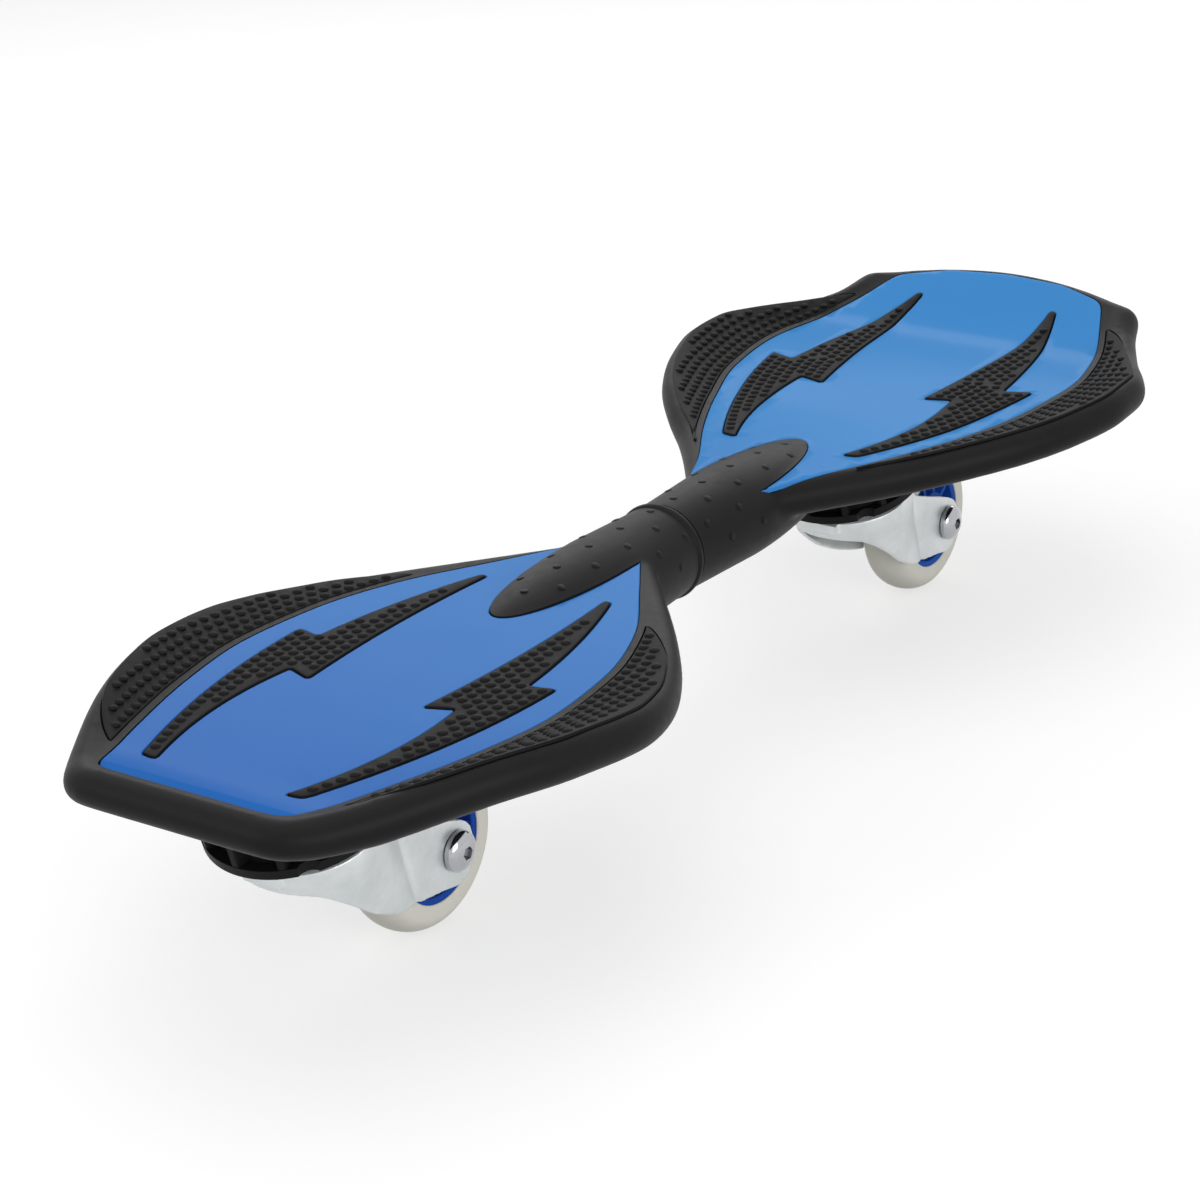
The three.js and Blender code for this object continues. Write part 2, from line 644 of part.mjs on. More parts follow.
// The wedge under a deck: a grooved barrel square to the kingpin under a level flange.
function mountSolid(form) {
  const place = (solid) => solid.rotate([0, -PIVOT_TILT / DEGREE, 0]).translate([form.pivotX, 0, PIVOT_Z]);
  const pitch = 360 / MOUNT_RIBS;
  const core = BARREL_RADIUS - GROOVE_DEPTH;
  const grooveHalf = core * Math.tan((pitch / 2) * DEGREE) - MOUNT_RIB_WIDTH / 2;
  const groove = box([core, -grooveHalf, MOUNT_FOOT], [core + OVERRUN, grooveHalf, OVERRUN]);
  const grooves = steps(0, MOUNT_RIBS - 1, MOUNT_RIBS - 1).map((i) => (i + 0.5) * pitch)
    .filter((angle) => Math.cos(angle * DEGREE) < THIN_SIDE_COSINE)
    .map((angle) => groove.rotate([0, 0, angle]));
  const barrel = place(rod(BARREL_RADIUS, 0, OVERRUN, NECK_SIDES).subtract(joined(grooves)));
  const flange = rod(MOUNT_RADIUS, MOUNT_TOP_Z - MOUNT_FLANGE, MOUNT_TOP_Z, NECK_SIDES)
    .translate([form.pivotX, 0, 0]);
  const level = rod(OVERRUN, 0, MOUNT_TOP_Z).translate([form.pivotX, 0, 0]);
  const square = place(rod(OVERRUN, 0, OVERRUN));
  const pin = place(joined([
    rod(KINGPIN_RADIUS + GAP, -OVERRUN, OVERRUN),
    rod(KINGPIN_HEAD_RADIUS + GAP, KINGPIN_SEAT - GAP, OVERRUN),
  ]));
  const holes = screwPlaces(form).flatMap(([x, y]) => [
    rod(SCREW_RADIUS + GAP, 0, OVERRUN, LEAST).translate([x, y, 0]),
    rod(SCREW_HEAD_RADIUS + GAP, 0, MOUNT_TOP_Z - MOUNT_FLANGE, LEAST).translate([x, y, 0]),
  ]);
  return joined([barrel, flange]).intersect(level).intersect(square).subtract(joined([pin, ...holes]));
}

function screwSolid() {
  return joined([
    rod(SCREW_RADIUS, -SCREW_HEAD_HEIGHT / 2, SCREW_LENGTH, LEAST),
    rod(SCREW_HEAD_RADIUS, -SCREW_HEAD_HEIGHT, 0, LEAST),
  ]);
}

// Wheel centre in the caster's own frame, whose Z is the kingpin axis.
const TRAIL = AXLE_BEHIND * Math.cos(PIVOT_TILT) + (WHEEL_RADIUS - PIVOT_Z) * Math.sin(PIVOT_TILT);
const DROP = (WHEEL_RADIUS - PIVOT_Z) * Math.cos(PIVOT_TILT) - AXLE_BEHIND * Math.sin(PIVOT_TILT);

// Heights in that frame, down from the foot of the mount.
const RACE_BOTTOM = -GAP - RACE_THICKNESS;
const FORK_TOP = RACE_BOTTOM - 2 * BALL_RADIUS - 2 * GAP;
const PLATE_BOTTOM = FORK_TOP - FORK_SHEET;
const NUT_BOTTOM = PLATE_BOTTOM - GAP - KING_NUT_HEIGHT;

function kingpinSolid() {
  return joined([
    rod(KINGPIN_RADIUS, NUT_BOTTOM - KINGPIN_PROUD, KINGPIN_SEAT + KINGPIN_HEAD_HEIGHT / 2),
    rod(KINGPIN_HEAD_RADIUS, KINGPIN_SEAT, KINGPIN_SEAT + KINGPIN_HEAD_HEIGHT, HEXAGON),
  ]);
}

function ballRingSolid() {
  const centre = RACE_BOTTOM - GAP - BALL_RADIUS;
  return turned(around(BALL_SIDES).map((t) => [
    BALL_RING_RADIUS + BALL_RADIUS * Math.cos(t), centre + BALL_RADIUS * Math.sin(t),
  ]), NECK_SIDES);
}

// Side outline of the fork legs in [x, z] of the caster frame.
function forkSide() {
  const shared = (rows) => rows.map(([x, z]) => [x * TRAIL, z * DROP]);
  const ear = steps(...EAR_ANGLES, EAR_STEPS).map((angle) => angle * DEGREE)
    .map((a) => [TRAIL + EAR_RADIUS * Math.cos(a), DROP + EAR_RADIUS * Math.sin(a)]);
  return [
    [-OVERRUN, FORK_TOP + FORK_SHEET], [FORK_TOP_RADIUS, FORK_TOP + FORK_SHEET],
    [FORK_TOP_RADIUS, PLATE_BOTTOM - FORK_SHEET],
    ...shared(LEG_UPPER_SHARES), ...ear, ...shared(LEG_LOWER_SHARES),
    [-OVERRUN, PLATE_BOTTOM - FORK_SHEET],
  ];
}

// The fork channel, open below a top: straight sides and a bowed front.
function channel(half, frontX, top) {
  const arc = steps(90, 270, FORK_BOW_STEPS).map((angle) => angle * DEGREE).map((a) => [
    frontX + half * FRONT_BOW_SHARE * (1 + Math.cos(a)), half * Math.sin(a),
  ]);
  const back = TRAIL + 2 * EAR_RADIUS;
  return prism([[back, -half], [back, half], ...arc]).translate([0, 0, top - OVERRUN]);
}

function forkSolid() {
  const coneLow = FORK_TOP - FORK_CONE_DEPTH;
  const half = FORK_HALF_WIDTH - FORK_SHEET;
  const cone = turned([
    [0, coneLow], [FORK_HALF_WIDTH, coneLow], [FORK_TOP_RADIUS, PLATE_BOTTOM], [FORK_TOP_RADIUS, FORK_TOP],
    [0, FORK_TOP],
  ]);
  const hollow = turned([
    [0, coneLow - FORK_SHEET], [half, coneLow - FORK_SHEET], [half, coneLow],
    [FORK_TOP_RADIUS - 2 * FORK_SHEET, PLATE_BOTTOM], [0, PLATE_BOTTOM],
  ]);
  const outer = channel(FORK_HALF_WIDTH, -FORK_FRONT, FORK_TOP);
  const inner = channel(half, FORK_SHEET - FORK_FRONT, PLATE_BOTTOM);
  const lip = box([-LIP_REACH, -LIP_HALF_WIDTH, PLATE_BOTTOM], [-LIP_ROOT, LIP_HALF_WIDTH, FORK_TOP]);
  const turn = box(
    [-LIP_REACH, -LIP_HALF_WIDTH, FORK_TOP - LIP_DROP], [FORK_SHEET - LIP_REACH, LIP_HALF_WIDTH, FORK_TOP],
  );
  const body = joined([cone, outer]).intersect(crossways(forkSide()));
  const pin = rod(KINGPIN_RADIUS + GAP, -OVERRUN, OVERRUN);
  const axle = rod(AXLE_RADIUS + GAP, -OVERRUN, OVERRUN).rotate(ONTO_Y).translate([TRAIL, 0, DROP]);
  return joined([body, lip, turn]).subtract(joined([hollow, inner])).subtract(joined([pin, axle]));
}

// Wheel parts are turned about Z, then laid along Y with the wheel centre at the origin.
const HUB_HALF = TREAD_WIDTH / 2 - HUB_INSET;
const BEARING_PLACE = HUB_HALF - BEARING_WIDTH / 2;
const LEG_OUTSIDE = FORK_HALF_WIDTH + GAP;
const LEG_INSIDE = FORK_HALF_WIDTH - FORK_SHEET - GAP;

function treadSolid() {
  const half = TREAD_WIDTH / 2;
  const round = steps(-90, 90, TREAD_STEPS).map((angle) => angle * DEGREE).map((a) => [
    WHEEL_RADIUS - TREAD_ROUND + TREAD_ROUND * Math.cos(a), half * Math.sin(a),
  ]);
  return turned([[TREAD_INNER, -half], ...round, [TREAD_INNER, half]], WHEEL_SIDES).rotate(ONTO_Y);
}

function hubSolid() {
  const rim = TREAD_INNER - GAP;
  const web = WEB_THICKNESS / 2;
  const inner = rim - HUB_RIM;
  const half = [
    [HUB_BORE_RADIUS, -HUB_HALF], [HUB_BOSS_RADIUS, -HUB_HALF], [HUB_BOSS_RADIUS, -web], [inner, -web],
    [inner, -HUB_HALF], [rim, -HUB_HALF],
  ];
  const other = [...half].reverse().map(([r, z]) => [r, -z]);
  const seats = [0, 180].map((turn) => rod(
    BEARING_RADIUS + GAP, BEARING_PLACE - BEARING_WIDTH / 2 - GAP, OVERRUN,
  ).rotate([turn, 0, 0]));
  const holes = around(SPOKES).map((t) => rod(SPOKE_HOLE_RADIUS, -OVERRUN, OVERRUN, LEAST)
    .translate([(HUB_BOSS_RADIUS + inner) / 2, 0, 0]).rotate([0, 0, t / DEGREE]));
  return turned([...half, ...other], NECK_SIDES).subtract(joined([...seats, ...holes])).rotate(ONTO_Y);
}

// A ring round the axle between two places along it.
function axleRing(outer, low, high) {
  return ring(AXLE_RADIUS + GAP, outer, low, high).rotate(ONTO_Y);
}

function axleSolid() {
  const top = LEG_OUTSIDE + AXLE_HEAD_RIM + AXLE_HEAD_DOME;
  const dome = steps(0, 90, DOME_STEPS).map((angle) => angle * DEGREE).map((a) => [
    AXLE_HEAD_RADIUS * Math.cos(a), top - AXLE_HEAD_DOME * (1 - Math.sin(a)),
  ]);
  return joined([
    rod(AXLE_RADIUS, -LEG_OUTSIDE - AXLE_PROUD, LEG_OUTSIDE + AXLE_HEAD_RIM),
    turned([[0, LEG_OUTSIDE], [AXLE_HEAD_RADIUS, LEG_OUTSIDE], ...dome], COARSE),
  ]).subtract(rod(SOCKET_RADIUS, top - SOCKET_DEPTH, OVERRUN, HEXAGON)).rotate([90, 0, 0]);
}

function nutSolid(radius, bore, low, high) {
  return rod(radius, low, high, HEXAGON).subtract(rod(bore, -OVERRUN, OVERRUN));
}

function wheelGroup(label) {
  const wheel = new THREE.Group();
  wheel.position.set(TRAIL, 0, DROP);
  wheel.rotation.y = PIVOT_TILT;
  const nut = nutSolid(AXLE_NUT_RADIUS, AXLE_RADIUS + GAP, LEG_OUTSIDE, LEG_OUTSIDE + AXLE_NUT_HEIGHT);
  const spacerHalf = BEARING_PLACE - BEARING_WIDTH / 2 - GAP;
  wheel.add(mesh(`${label}_axle_bolt`, axleSolid(), 'chrome'));
  wheel.add(mesh(`${label}_axle_nut`, nut.rotate(ONTO_Y), 'zinc'));
  wheel.add(mesh(`${label}_tyre`, treadSolid(), 'tread'));
  wheel.add(mesh(`${label}_hub`, hubSolid(), 'hub'));
  wheel.add(mesh(`${label}_spacer`, axleRing(AXLE_RADIUS + SPACER_WALL, -spacerHalf, spacerHalf), 'steel'));
  [['left', 1], ['right', -1]].forEach(([name, s]) => {
    const half = BEARING_WIDTH / 2;
    const bearing = mesh(`${label}_bearing_${name}`, axleRing(BEARING_RADIUS, -half, half), 'steel');
    bearing.position.y = s * BEARING_PLACE;
    const washerRing = axleRing(AXLE_RADIUS + WASHER_WALL, HUB_HALF + GAP, LEG_INSIDE);
    const washer = mesh(`${label}_washer_${name}`, washerRing, 'zinc');
    washer.rotation.x = s > 0 ? 0 : Math.PI;
    wheel.add(bearing, washer);
  });
  return wheel;
}

function caster(label, form) {
  const group = new THREE.Group();
  group.position.set(form.pivotX, 0, PIVOT_Z);
  group.rotation.y = -PIVOT_TILT;
  const race = ring(KINGPIN_RADIUS + GAP, RACE_RADIUS, RACE_BOTTOM, -GAP, NECK_SIDES);
  const nut = nutSolid(KING_NUT_RADIUS, KINGPIN_RADIUS + GAP, NUT_BOTTOM, PLATE_BOTTOM - GAP);
  group.add(mesh(`${label}_top_race`, race, 'zinc'));
  group.add(mesh(`${label}_ball_ring`, ballRingSolid(), 'steel'));
  group.add(mesh(`${label}_kingpin`, kingpinSolid(), 'steel'));
  group.add(mesh(`${label}_kingpin_nut`, nut, 'zinc'));
  group.add(mesh(`${label}_fork`, forkSolid(), 'zinc'));
  group.add(wheelGroup(label));
  return group;
}

function deckGroup(label, form) {
  const group = new THREE.Group();
  group.add(mesh(`${label}_deck`, deckSolid(form), 'deck'));
  group.add(mesh(`${label}_panel`, panelSolid(form), 'panel'));
  [['left', 1], ['right', -1]].forEach(([name, mirror]) => {
    group.add(mesh(`${label}_bolt_grip_${name}`, boltSolid(form, mirror), 'grip'));
    group.add(mesh(`${label}_side_grip_${name}`, padSolid(form, mirror), 'grip'));
  });
  group.add(mesh(`${label}_caster_mount`, mountSolid(form), 'mount'));
  screwPlaces(form).forEach(([x, y], i) => {
    const screw = mesh(`${label}_mount_screw_${i + 1}`, screwSolid(), 'steel');
    screw.position.set(x, y, MOUNT_TOP_Z - MOUNT_FLANGE - GAP);
    group.add(screw);
  });
  return group;
}

// The twist bearing: a steel tube held in the rear neck and turning in two front bushes.
function twistBearing() {
  const group = new THREE.Group();
  group.position.set(SEAM_X, 0, NECK_Z);
  const lying = (inner, outer, near, far, s) => {
    const span = s < 0 ? [-far, -near] : [near, far];
    return ring(inner, outer, ...span).rotate(ONTO_X);
  };
  const sleeve = (s, near) => lying(TUBE_RADIUS + GAP, BORE_RADIUS - GAP, near, near + BUSH_LENGTH, s);
  const anchorEnd = BAR_REACH + ANCHOR_PROUD;
  const anchor = (s) => lying(BAR_RADIUS + GAP, BORE_RADIUS - GAP, anchorEnd - ANCHOR_LENGTH, anchorEnd, s);
  const tube = ring(TUBE_RADIUS - TUBE_WALL, TUBE_RADIUS, -TUBE_REACH, TUBE_REACH).rotate(ONTO_X);
  group.add(mesh('front_neck_bush_near', sleeve(-1, BUSH_NEAR), 'bush'));
  group.add(mesh('front_neck_bush_far', sleeve(-1, BUSH_FAR), 'bush'));
  group.add(mesh('rear_neck_sleeve_near', sleeve(1, BUSH_NEAR), 'bush'));
  group.add(mesh('rear_neck_sleeve_far', sleeve(1, BUSH_FAR), 'bush'));
  group.add(mesh('pivot_tube', tube, 'steel'));
  group.add(mesh('front_bar_anchor', anchor(-1), 'steel'));
  group.add(mesh('rear_bar_anchor', anchor(1), 'steel'));
  group.add(mesh('torsion_bar', rod(BAR_RADIUS, -BAR_REACH, BAR_REACH).rotate(ONTO_X), 'steel'));
  return group;
}

const board = new THREE.Group();
board.add(deckGroup('front', front));
board.add(deckGroup('rear', rear));
board.add(twistBearing());
board.add(caster('front', front));
board.add(caster('rear', rear));

export default board;
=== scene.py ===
# %% [markdown]
# # A caster board in Blender
# A caster board has two foot decks on one twisting neck, and each deck rides on a single trailing caster.
# The CAD model gives every size and joint. This lesson dresses it: moulded plastic, gloss panels, grips with
# raised bumps, pressed zinc-plated forks and cast wheels. The file starts by loading that model as a frame.
import json
import math

import bmesh
import bpy
from mathutils import Matrix, Vector

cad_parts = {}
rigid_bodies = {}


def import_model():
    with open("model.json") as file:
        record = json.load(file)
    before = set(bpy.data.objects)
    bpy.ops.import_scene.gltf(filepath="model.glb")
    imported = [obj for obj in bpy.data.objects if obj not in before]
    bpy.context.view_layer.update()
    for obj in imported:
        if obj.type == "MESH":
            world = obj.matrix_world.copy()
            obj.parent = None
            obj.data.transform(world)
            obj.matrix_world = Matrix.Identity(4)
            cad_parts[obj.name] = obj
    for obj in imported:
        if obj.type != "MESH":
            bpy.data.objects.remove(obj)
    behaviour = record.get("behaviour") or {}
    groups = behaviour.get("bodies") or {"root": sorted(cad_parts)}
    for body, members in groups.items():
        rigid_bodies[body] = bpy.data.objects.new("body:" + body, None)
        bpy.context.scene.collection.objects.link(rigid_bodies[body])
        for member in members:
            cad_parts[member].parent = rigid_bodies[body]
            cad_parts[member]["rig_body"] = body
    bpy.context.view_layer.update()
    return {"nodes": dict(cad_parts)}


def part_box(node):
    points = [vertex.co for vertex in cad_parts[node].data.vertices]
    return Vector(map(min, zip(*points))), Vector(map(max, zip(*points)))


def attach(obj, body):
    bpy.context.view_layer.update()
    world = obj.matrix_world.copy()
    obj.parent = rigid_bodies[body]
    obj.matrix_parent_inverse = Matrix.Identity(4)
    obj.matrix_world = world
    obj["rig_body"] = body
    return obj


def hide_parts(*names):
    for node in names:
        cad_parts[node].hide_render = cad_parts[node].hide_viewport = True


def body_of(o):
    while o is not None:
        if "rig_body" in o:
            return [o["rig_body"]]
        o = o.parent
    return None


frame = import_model()

# %% [markdown]
# ## Driving dimensions
# The lesson draws in millimetres, and turns each finished piece into metres at the very end. The names and the
# values are those of the CAD model, so every new piece lies where its solid lies.

# %% Sizes of the decks and the neck
MM = 0.001
SEAM_X = -8.5
SEAM_GAP = 0.3
FOOT_Z = 113.0
RIM_RISE = 10.0
DECK_THICKNESS = 17.0
RIM_THICKNESS = 18.0
RIM_RADIUS = 9.0
NOSE_THINNING = 3.0
NOSE_THIN_LENGTH = 40.0
NECK_Z = 99.5
NECK_END_RADIUS = 21.5
NECK_HALF_WIDTH = 26.3
NECK_HALF_HEIGHT = 21.8
TONGUE_HALF_WIDTH = 19.6
TONGUE_SHARE = 0.765
BORE_RADIUS = 15.5
BORE_REACH = 96.0

# %% Sizes of the casters
PIVOT_Z = 80.0
PIVOT_TILT = math.radians(15)
AXLE_BEHIND = 70.0
WHEEL_RADIUS = 38.0
MOUNT_TOP_Z = 95.2
MOUNT_RADIUS = 48.0
BARREL_RADIUS = 38.0

# %% [markdown]
# ## Curves through shares
# Each outline is a short table of shares. A monotone cubic runs through the table without
# overshooting, which keeps a moulded edge fair between its few points.


# %% A fair curve
def steps(start, stop, count):
    """Even steps from one value to another, both ends included."""
    return [start + (stop - start) * i / count for i in range(count + 1)]


def fair_curve(points):
    """Monotone cubic through (x, value) points, flat beyond both ends."""
    last = len(points) - 1
    slopes = [(b[1] - a[1]) / (b[0] - a[0]) for a, b in zip(points, points[1:])]
    tangents = [slopes[0]]
    for before, after in zip(slopes, slopes[1:]):
        tangents.append(0 if before * after <= 0 else 2 * before * after / (before + after))
    tangents.append(slopes[-1])

    def value(x):
        if x <= points[0][0]:
            return points[0][1]
        if x >= points[last][0]:
            return points[last][1]
        i = next(k for k in range(last) if points[k + 1][0] > x)
        width = points[i + 1][0] - points[i][0]
        t = (x - points[i][0]) / width
        ease = t * t * (3 - 2 * t)
        bend = t * (1 - t) * (1 - t) * tangents[i] + t * t * (t - 1) * tangents[i + 1]
        return points[i][1] * (1 - ease) + points[i + 1][1] * ease + bend * width

    return value


# %% [markdown]
# ## The two decks as rules
# A deck is a plan outline, a panel outline inside it, a centre line that kicks up at its end, and a rim that rises
# over the panel. One class turns the tables into those rules, and both decks are made from it.


# %% The rules of one deck
class Deck:
    """Plan and heights of one deck in millimetres, worked out from its tables of shares."""

    def __init__(self, label, side, length, half, kick, neck, tongue, pivot, shares):
        self.label, self.side, self.half, self.tongue = label, side, half, tongue
        self.length = length
        self.start = SEAM_X - length if side < 0 else SEAM_X
        self.end = SEAM_X + side * length
        self.seam = SEAM_X + side * SEAM_GAP
        self.base = SEAM_X + side * neck
        self.pivot_x = self.start + pivot
        tip = ((self.base - self.start) / length, TONGUE_HALF_WIDTH / half)
        rows = shares["panel"]
        self.panel_rows = rows + [tip] if side < 0 else [tip] + rows
        self.bow = shares["bow"]
        self.bolt = {name: (self.at(x), y * half) for name, (x, y) in shares["bolt"].items()}
        self.pad_span = [self.at(x) for x in shares["pad"]]
        self.pocket_span = [self.at(x) for x in shares["pocket"]]
        self.width = self.sized(shares["outline"], half)
        self.panel = self.sized(self.panel_rows, half)
        self.centre = self.sized(shares["kick"], kick, FOOT_Z)
        self.rise = self.sized(shares["rise"], RIM_RISE)
        ends = [self.at(shares["outline"][k][0]) for k in (0, -1)]
        self.neck_x, self.corner_x = ends if side > 0 else reversed(ends)

    def at(self, share):
        """The place along the board of a share of this deck's length."""
        return self.start + self.length * share

    def sized(self, rows, unit, lift=0.0):
        """A fair curve through shares, in millimetres."""
        return fair_curve([(self.at(x), lift + value * unit) for x, value in rows])

    def top(self, x, y):
        """Height of the deck's top face."""
        edge = self.panel(x)
        share = min(max((abs(y) - edge) / (self.width(x) - edge), 0), 1)
        return self.centre(x) + self.rise(x) * share * share * (3 - 2 * share)


# %% The tables of the front deck
front = Deck("front", -1, 330.0, 113.5, 5.5, 47.0, 78.5, 73.0, {
    "outline": [
        (0, 0.45), (0.052, 0.56), (0.105, 0.66), (0.158, 0.75), (0.23, 0.85), (0.345, 0.965),
        (0.45, 1), (0.517, 0.96), (0.588, 0.86), (0.691, 0.655), (0.803, 0.39), (0.874, 0.21),
    ],
    "kick": [(0, 1.55), (0.038, 0.52), (0.062, 0.22), (0.117, 0), (0.69, 0), (1, 0.4)],
    "rise": [(0, 0.07), (0.117, 0.76), (0.23, 1.04), (0.345, 0.84), (0.486, 0.37), (0.59, 0.15), (0.72, 0.1)],
    "panel": [
        (0.038, 0.397), (0.167, 0.53), (0.288, 0.63), (0.409, 0.684), (0.53, 0.653), (0.652, 0.542),
        (0.773, 0.332),
    ],
    "bow": [],
    "bolt": {
        "blunt": (0.096, 0.275), "blunt_outer": (0.099, 0.344), "outer_bump": (0.473, 0.568),
        "outer_notch": (0.464, 0.465), "tip": (0.727, 0.28), "inner_bump": (0.355, 0.25),
        "inner_notch": (0.37, 0.364),
    },
    "pad": (0.105, 0.686),
    "pocket": (0.042, 0.783),
})

# %% The tables of the rear deck
rear = Deck("rear", 1, 347.0, 125.0, 30.5, 51.0, 68.5, 162.5, {
    "outline": [
        (0.14, 0.16), (0.183, 0.23), (0.215, 0.29), (0.31, 0.49), (0.37, 0.645), (0.448, 0.815),
        (0.543, 0.945), (0.624, 1), (0.682, 0.995), (0.733, 0.935), (0.785, 0.85), (0.846, 0.76),
        (0.901, 0.685), (0.947, 0.645),
    ],
    "kick": [
        (0, 0), (0.215, 0.033), (0.448, 0.092), (0.563, 0.174), (0.679, 0.236), (0.791, 0.282),
        (0.86, 0.435), (0.909, 0.615), (1, 1),
    ],
    "rise": [
        (0.17, 0.02), (0.31, 0.3), (0.448, 0.75), (0.563, 0.89), (0.65, 1.01), (0.765, 0.92), (0.889, 0.33), (1, 0),
    ],
    "panel": [
        (0.216, 0.236), (0.331, 0.411), (0.447, 0.556), (0.562, 0.66), (0.677, 0.694), (0.793, 0.639),
        (0.908, 0.519), (0.939, 0.48),
    ],
    "bow": [(0.973, 0.269), (0.981, 0)],
    "bolt": {
        "blunt": (0.314, 0.234), "blunt_outer": (0.317, 0.296), "outer_bump": (0.631, 0.592),
        "outer_notch": (0.617, 0.48), "tip": (0.902, 0.31), "inner_bump": (0.548, 0.228),
        "inner_notch": (0.559, 0.34),
    },
    "pad": (0.278, 0.878),
    "pocket": (0.226, 0.924),
})
DECKS = [front, rear]
print("decks from", front.end, "to", rear.end, "mm")

# %% [markdown]
# ## Working on plan lines
# Plan lines are lists of (x, y). They are spaced evenly, rounded at their corners by averaging neighbours, and
# drawn in by a distance. Everything that lies in the deck's top face starts from such a line.


# %% Plan lines
def spaced(line, gap):
    """The same line with points about gap apart."""
    lengths = [math.dist(a, b) for a, b in zip(line, line[1:])]
    count = max(int(sum(lengths) / gap), 2)
    places, k, passed = [line[0]], 0, 0.0
    for goal in steps(0, sum(lengths), count)[1:-1]:
        while passed + lengths[k] < goal:
            passed += lengths[k]
            k += 1
        t = (goal - passed) / lengths[k]
        places.append(tuple(a + (b - a) * t for a, b in zip(line[k], line[k + 1])))
    return places + [line[-1]]


def rounded(line, passes):
    """The line with its corners softened, its ends kept."""
    for _ in range(passes):
        inner = [
            tuple((a + 2 * b + c) / 4 for a, b, c in zip(*three)) for three in zip(line, line[1:], line[2:])
        ]
        line = [line[0], *inner, line[-1]]
    return line


def outward(line, closed=False):
    """Unit normals to the right of the line's direction."""
    count = len(line)
    normals = []
    for i in range(count):
        before = line[i - 1] if closed or i else line[0]
        after = line[(i + 1) % count] if closed or i < count - 1 else line[-1]
        run = Vector((after[1] - before[1], before[0] - after[0])).normalized()
        normals.append(run)
    return normals


def area_of(loop):
    """Signed area of a closed plan line, positive when it runs anticlockwise."""
    return sum(a[0] * b[1] - b[0] * a[1] for a, b in zip(loop, loop[1:] + loop[:1])) / 2


def drawn_in(loop, gap):
    """A closed plan line moved inward by a gap."""
    turn = 1 if area_of(loop) > 0 else -1
    return [
        (x - turn * n.x * gap, y - turn * n.y * gap) for (x, y), n in zip(loop, outward(loop, closed=True))
    ]


# %% The outline of a deck
OUTLINE_GAP = 2.0
CORNER_PASSES = {"front": 36, "rear": 8}
TAIL_INSET = 0.5


def outline(deck):
    """From the neck along the +Y edge, round the end, and back along the -Y edge."""
    edge = [(x, deck.width(x)) for x in steps(deck.neck_x, deck.corner_x, 160)]
    corner_y = deck.width(deck.corner_x)
    if deck.side > 0:
        reach = deck.end - TAIL_INSET - deck.corner_x
        tail = [(deck.corner_x + reach * (1 - s * s), corner_y * s) for s in steps(1, -1, 48)]
        line = edge + tail[1:-1]
    else:
        line = edge
    line = line + [(x, -y) for x, y in reversed(edge)]
    return rounded(spaced(line, OUTLINE_GAP), CORNER_PASSES[deck.label])


for deck in DECKS:
    print(deck.label, "outline has", len(outline(deck)), "points")

# %% [markdown]
# ## From a rule to a mesh
# A sheet of quads is the simplest start for a moulded shape: create_grid makes it, a rule places each vertex, and
# remove_doubles and holes_fill close it. A turned part is a profile that bmesh.ops.spin carries round.


# %% Skins, turned shapes and prisms
WELD = 0.001


def closed(bm):
    """Welds a bmesh, fills its openings and turns its faces outward."""
    bmesh.ops.remove_doubles(bm, verts=bm.verts, dist=WELD)
    bmesh.ops.holes_fill(bm, edges=[e for e in bm.edges if e.is_boundary], sides=0)
    bmesh.ops.recalc_face_normals(bm, faces=bm.faces)
    return bm


def skin(columns, rows, place):
    """A grid whose vertex (i, j) goes where place says."""
    bm = bmesh.new()
    bmesh.ops.create_grid(bm, x_segments=columns, y_segments=rows, size=1)
    for k, vert in enumerate(bm.verts):
        vert.co = place(k % (columns + 1), k // (columns + 1))
    return bm


def turned(profile, segments, loop=True):
    """A profile of (radius, z) carried round Z. A loop is joined at its ends, any other ends on the axis."""
    bm = bmesh.new()
    verts = [bm.verts.new((r, 0, z)) for r, z in profile]
    pairs = list(zip(verts, verts[1:])) + ([(verts[-1], verts[0])] if loop else [])
    edges = [bm.edges.new(pair) for pair in pairs]
    bmesh.ops.spin(
        bm, geom=verts + edges, cent=(0, 0, 0), axis=(0, 0, 1), angle=2 * math.pi, steps=segments, use_merge=True,
    )
    return closed(bm)


def prism(loop, low, high):
    """A closed plan line raised from one height to another."""
    bm = bmesh.new()
    face = bm.faces.new([bm.verts.new((x, y, low)) for x, y in loop])
    raised = bmesh.ops.extrude_face_region(bm, geom=[face])["geom"]
    verts = [g for g in raised if isinstance(g, bmesh.types.BMVert)]
    bmesh.ops.translate(bm, verts=verts, vec=(0, 0, high - low))
    bmesh.ops.recalc_face_normals(bm, faces=bm.faces)
    return bm


def disc(radius, low, high, centre=(0, 0), sides=64):
    """A plain upright cylinder, for cutting."""
    ring = [2 * math.pi * i / sides for i in range(sides)]
    return prism([(centre[0] + radius * math.cos(a), centre[1] + radius * math.sin(a)) for a in ring], low, high)


# %% [markdown]
# ## From a bmesh to a piece
# A bmesh becomes an object in metres that sits at the origin. Cuts are Boolean modifiers, applied at once so that
# the next step works on plain geometry. Their Manifold solver wants closed bodies, and gives the same mesh each run.

# %% Objects and cuts
scene = bpy.context.scene
SHARP = math.radians(32)


def piece_from(bm, name, placed=Matrix.Identity(4)):
    """Makes an object of a bmesh drawn in millimetres."""
    bmesh.ops.transform(bm, matrix=Matrix.Scale(MM, 4) @ placed, verts=bm.verts)
    mesh = bpy.data.meshes.new(name)
    bm.to_mesh(mesh)
    bm.free()
    made = bpy.data.objects.new(name, mesh)
    scene.collection.objects.link(made)
    return made


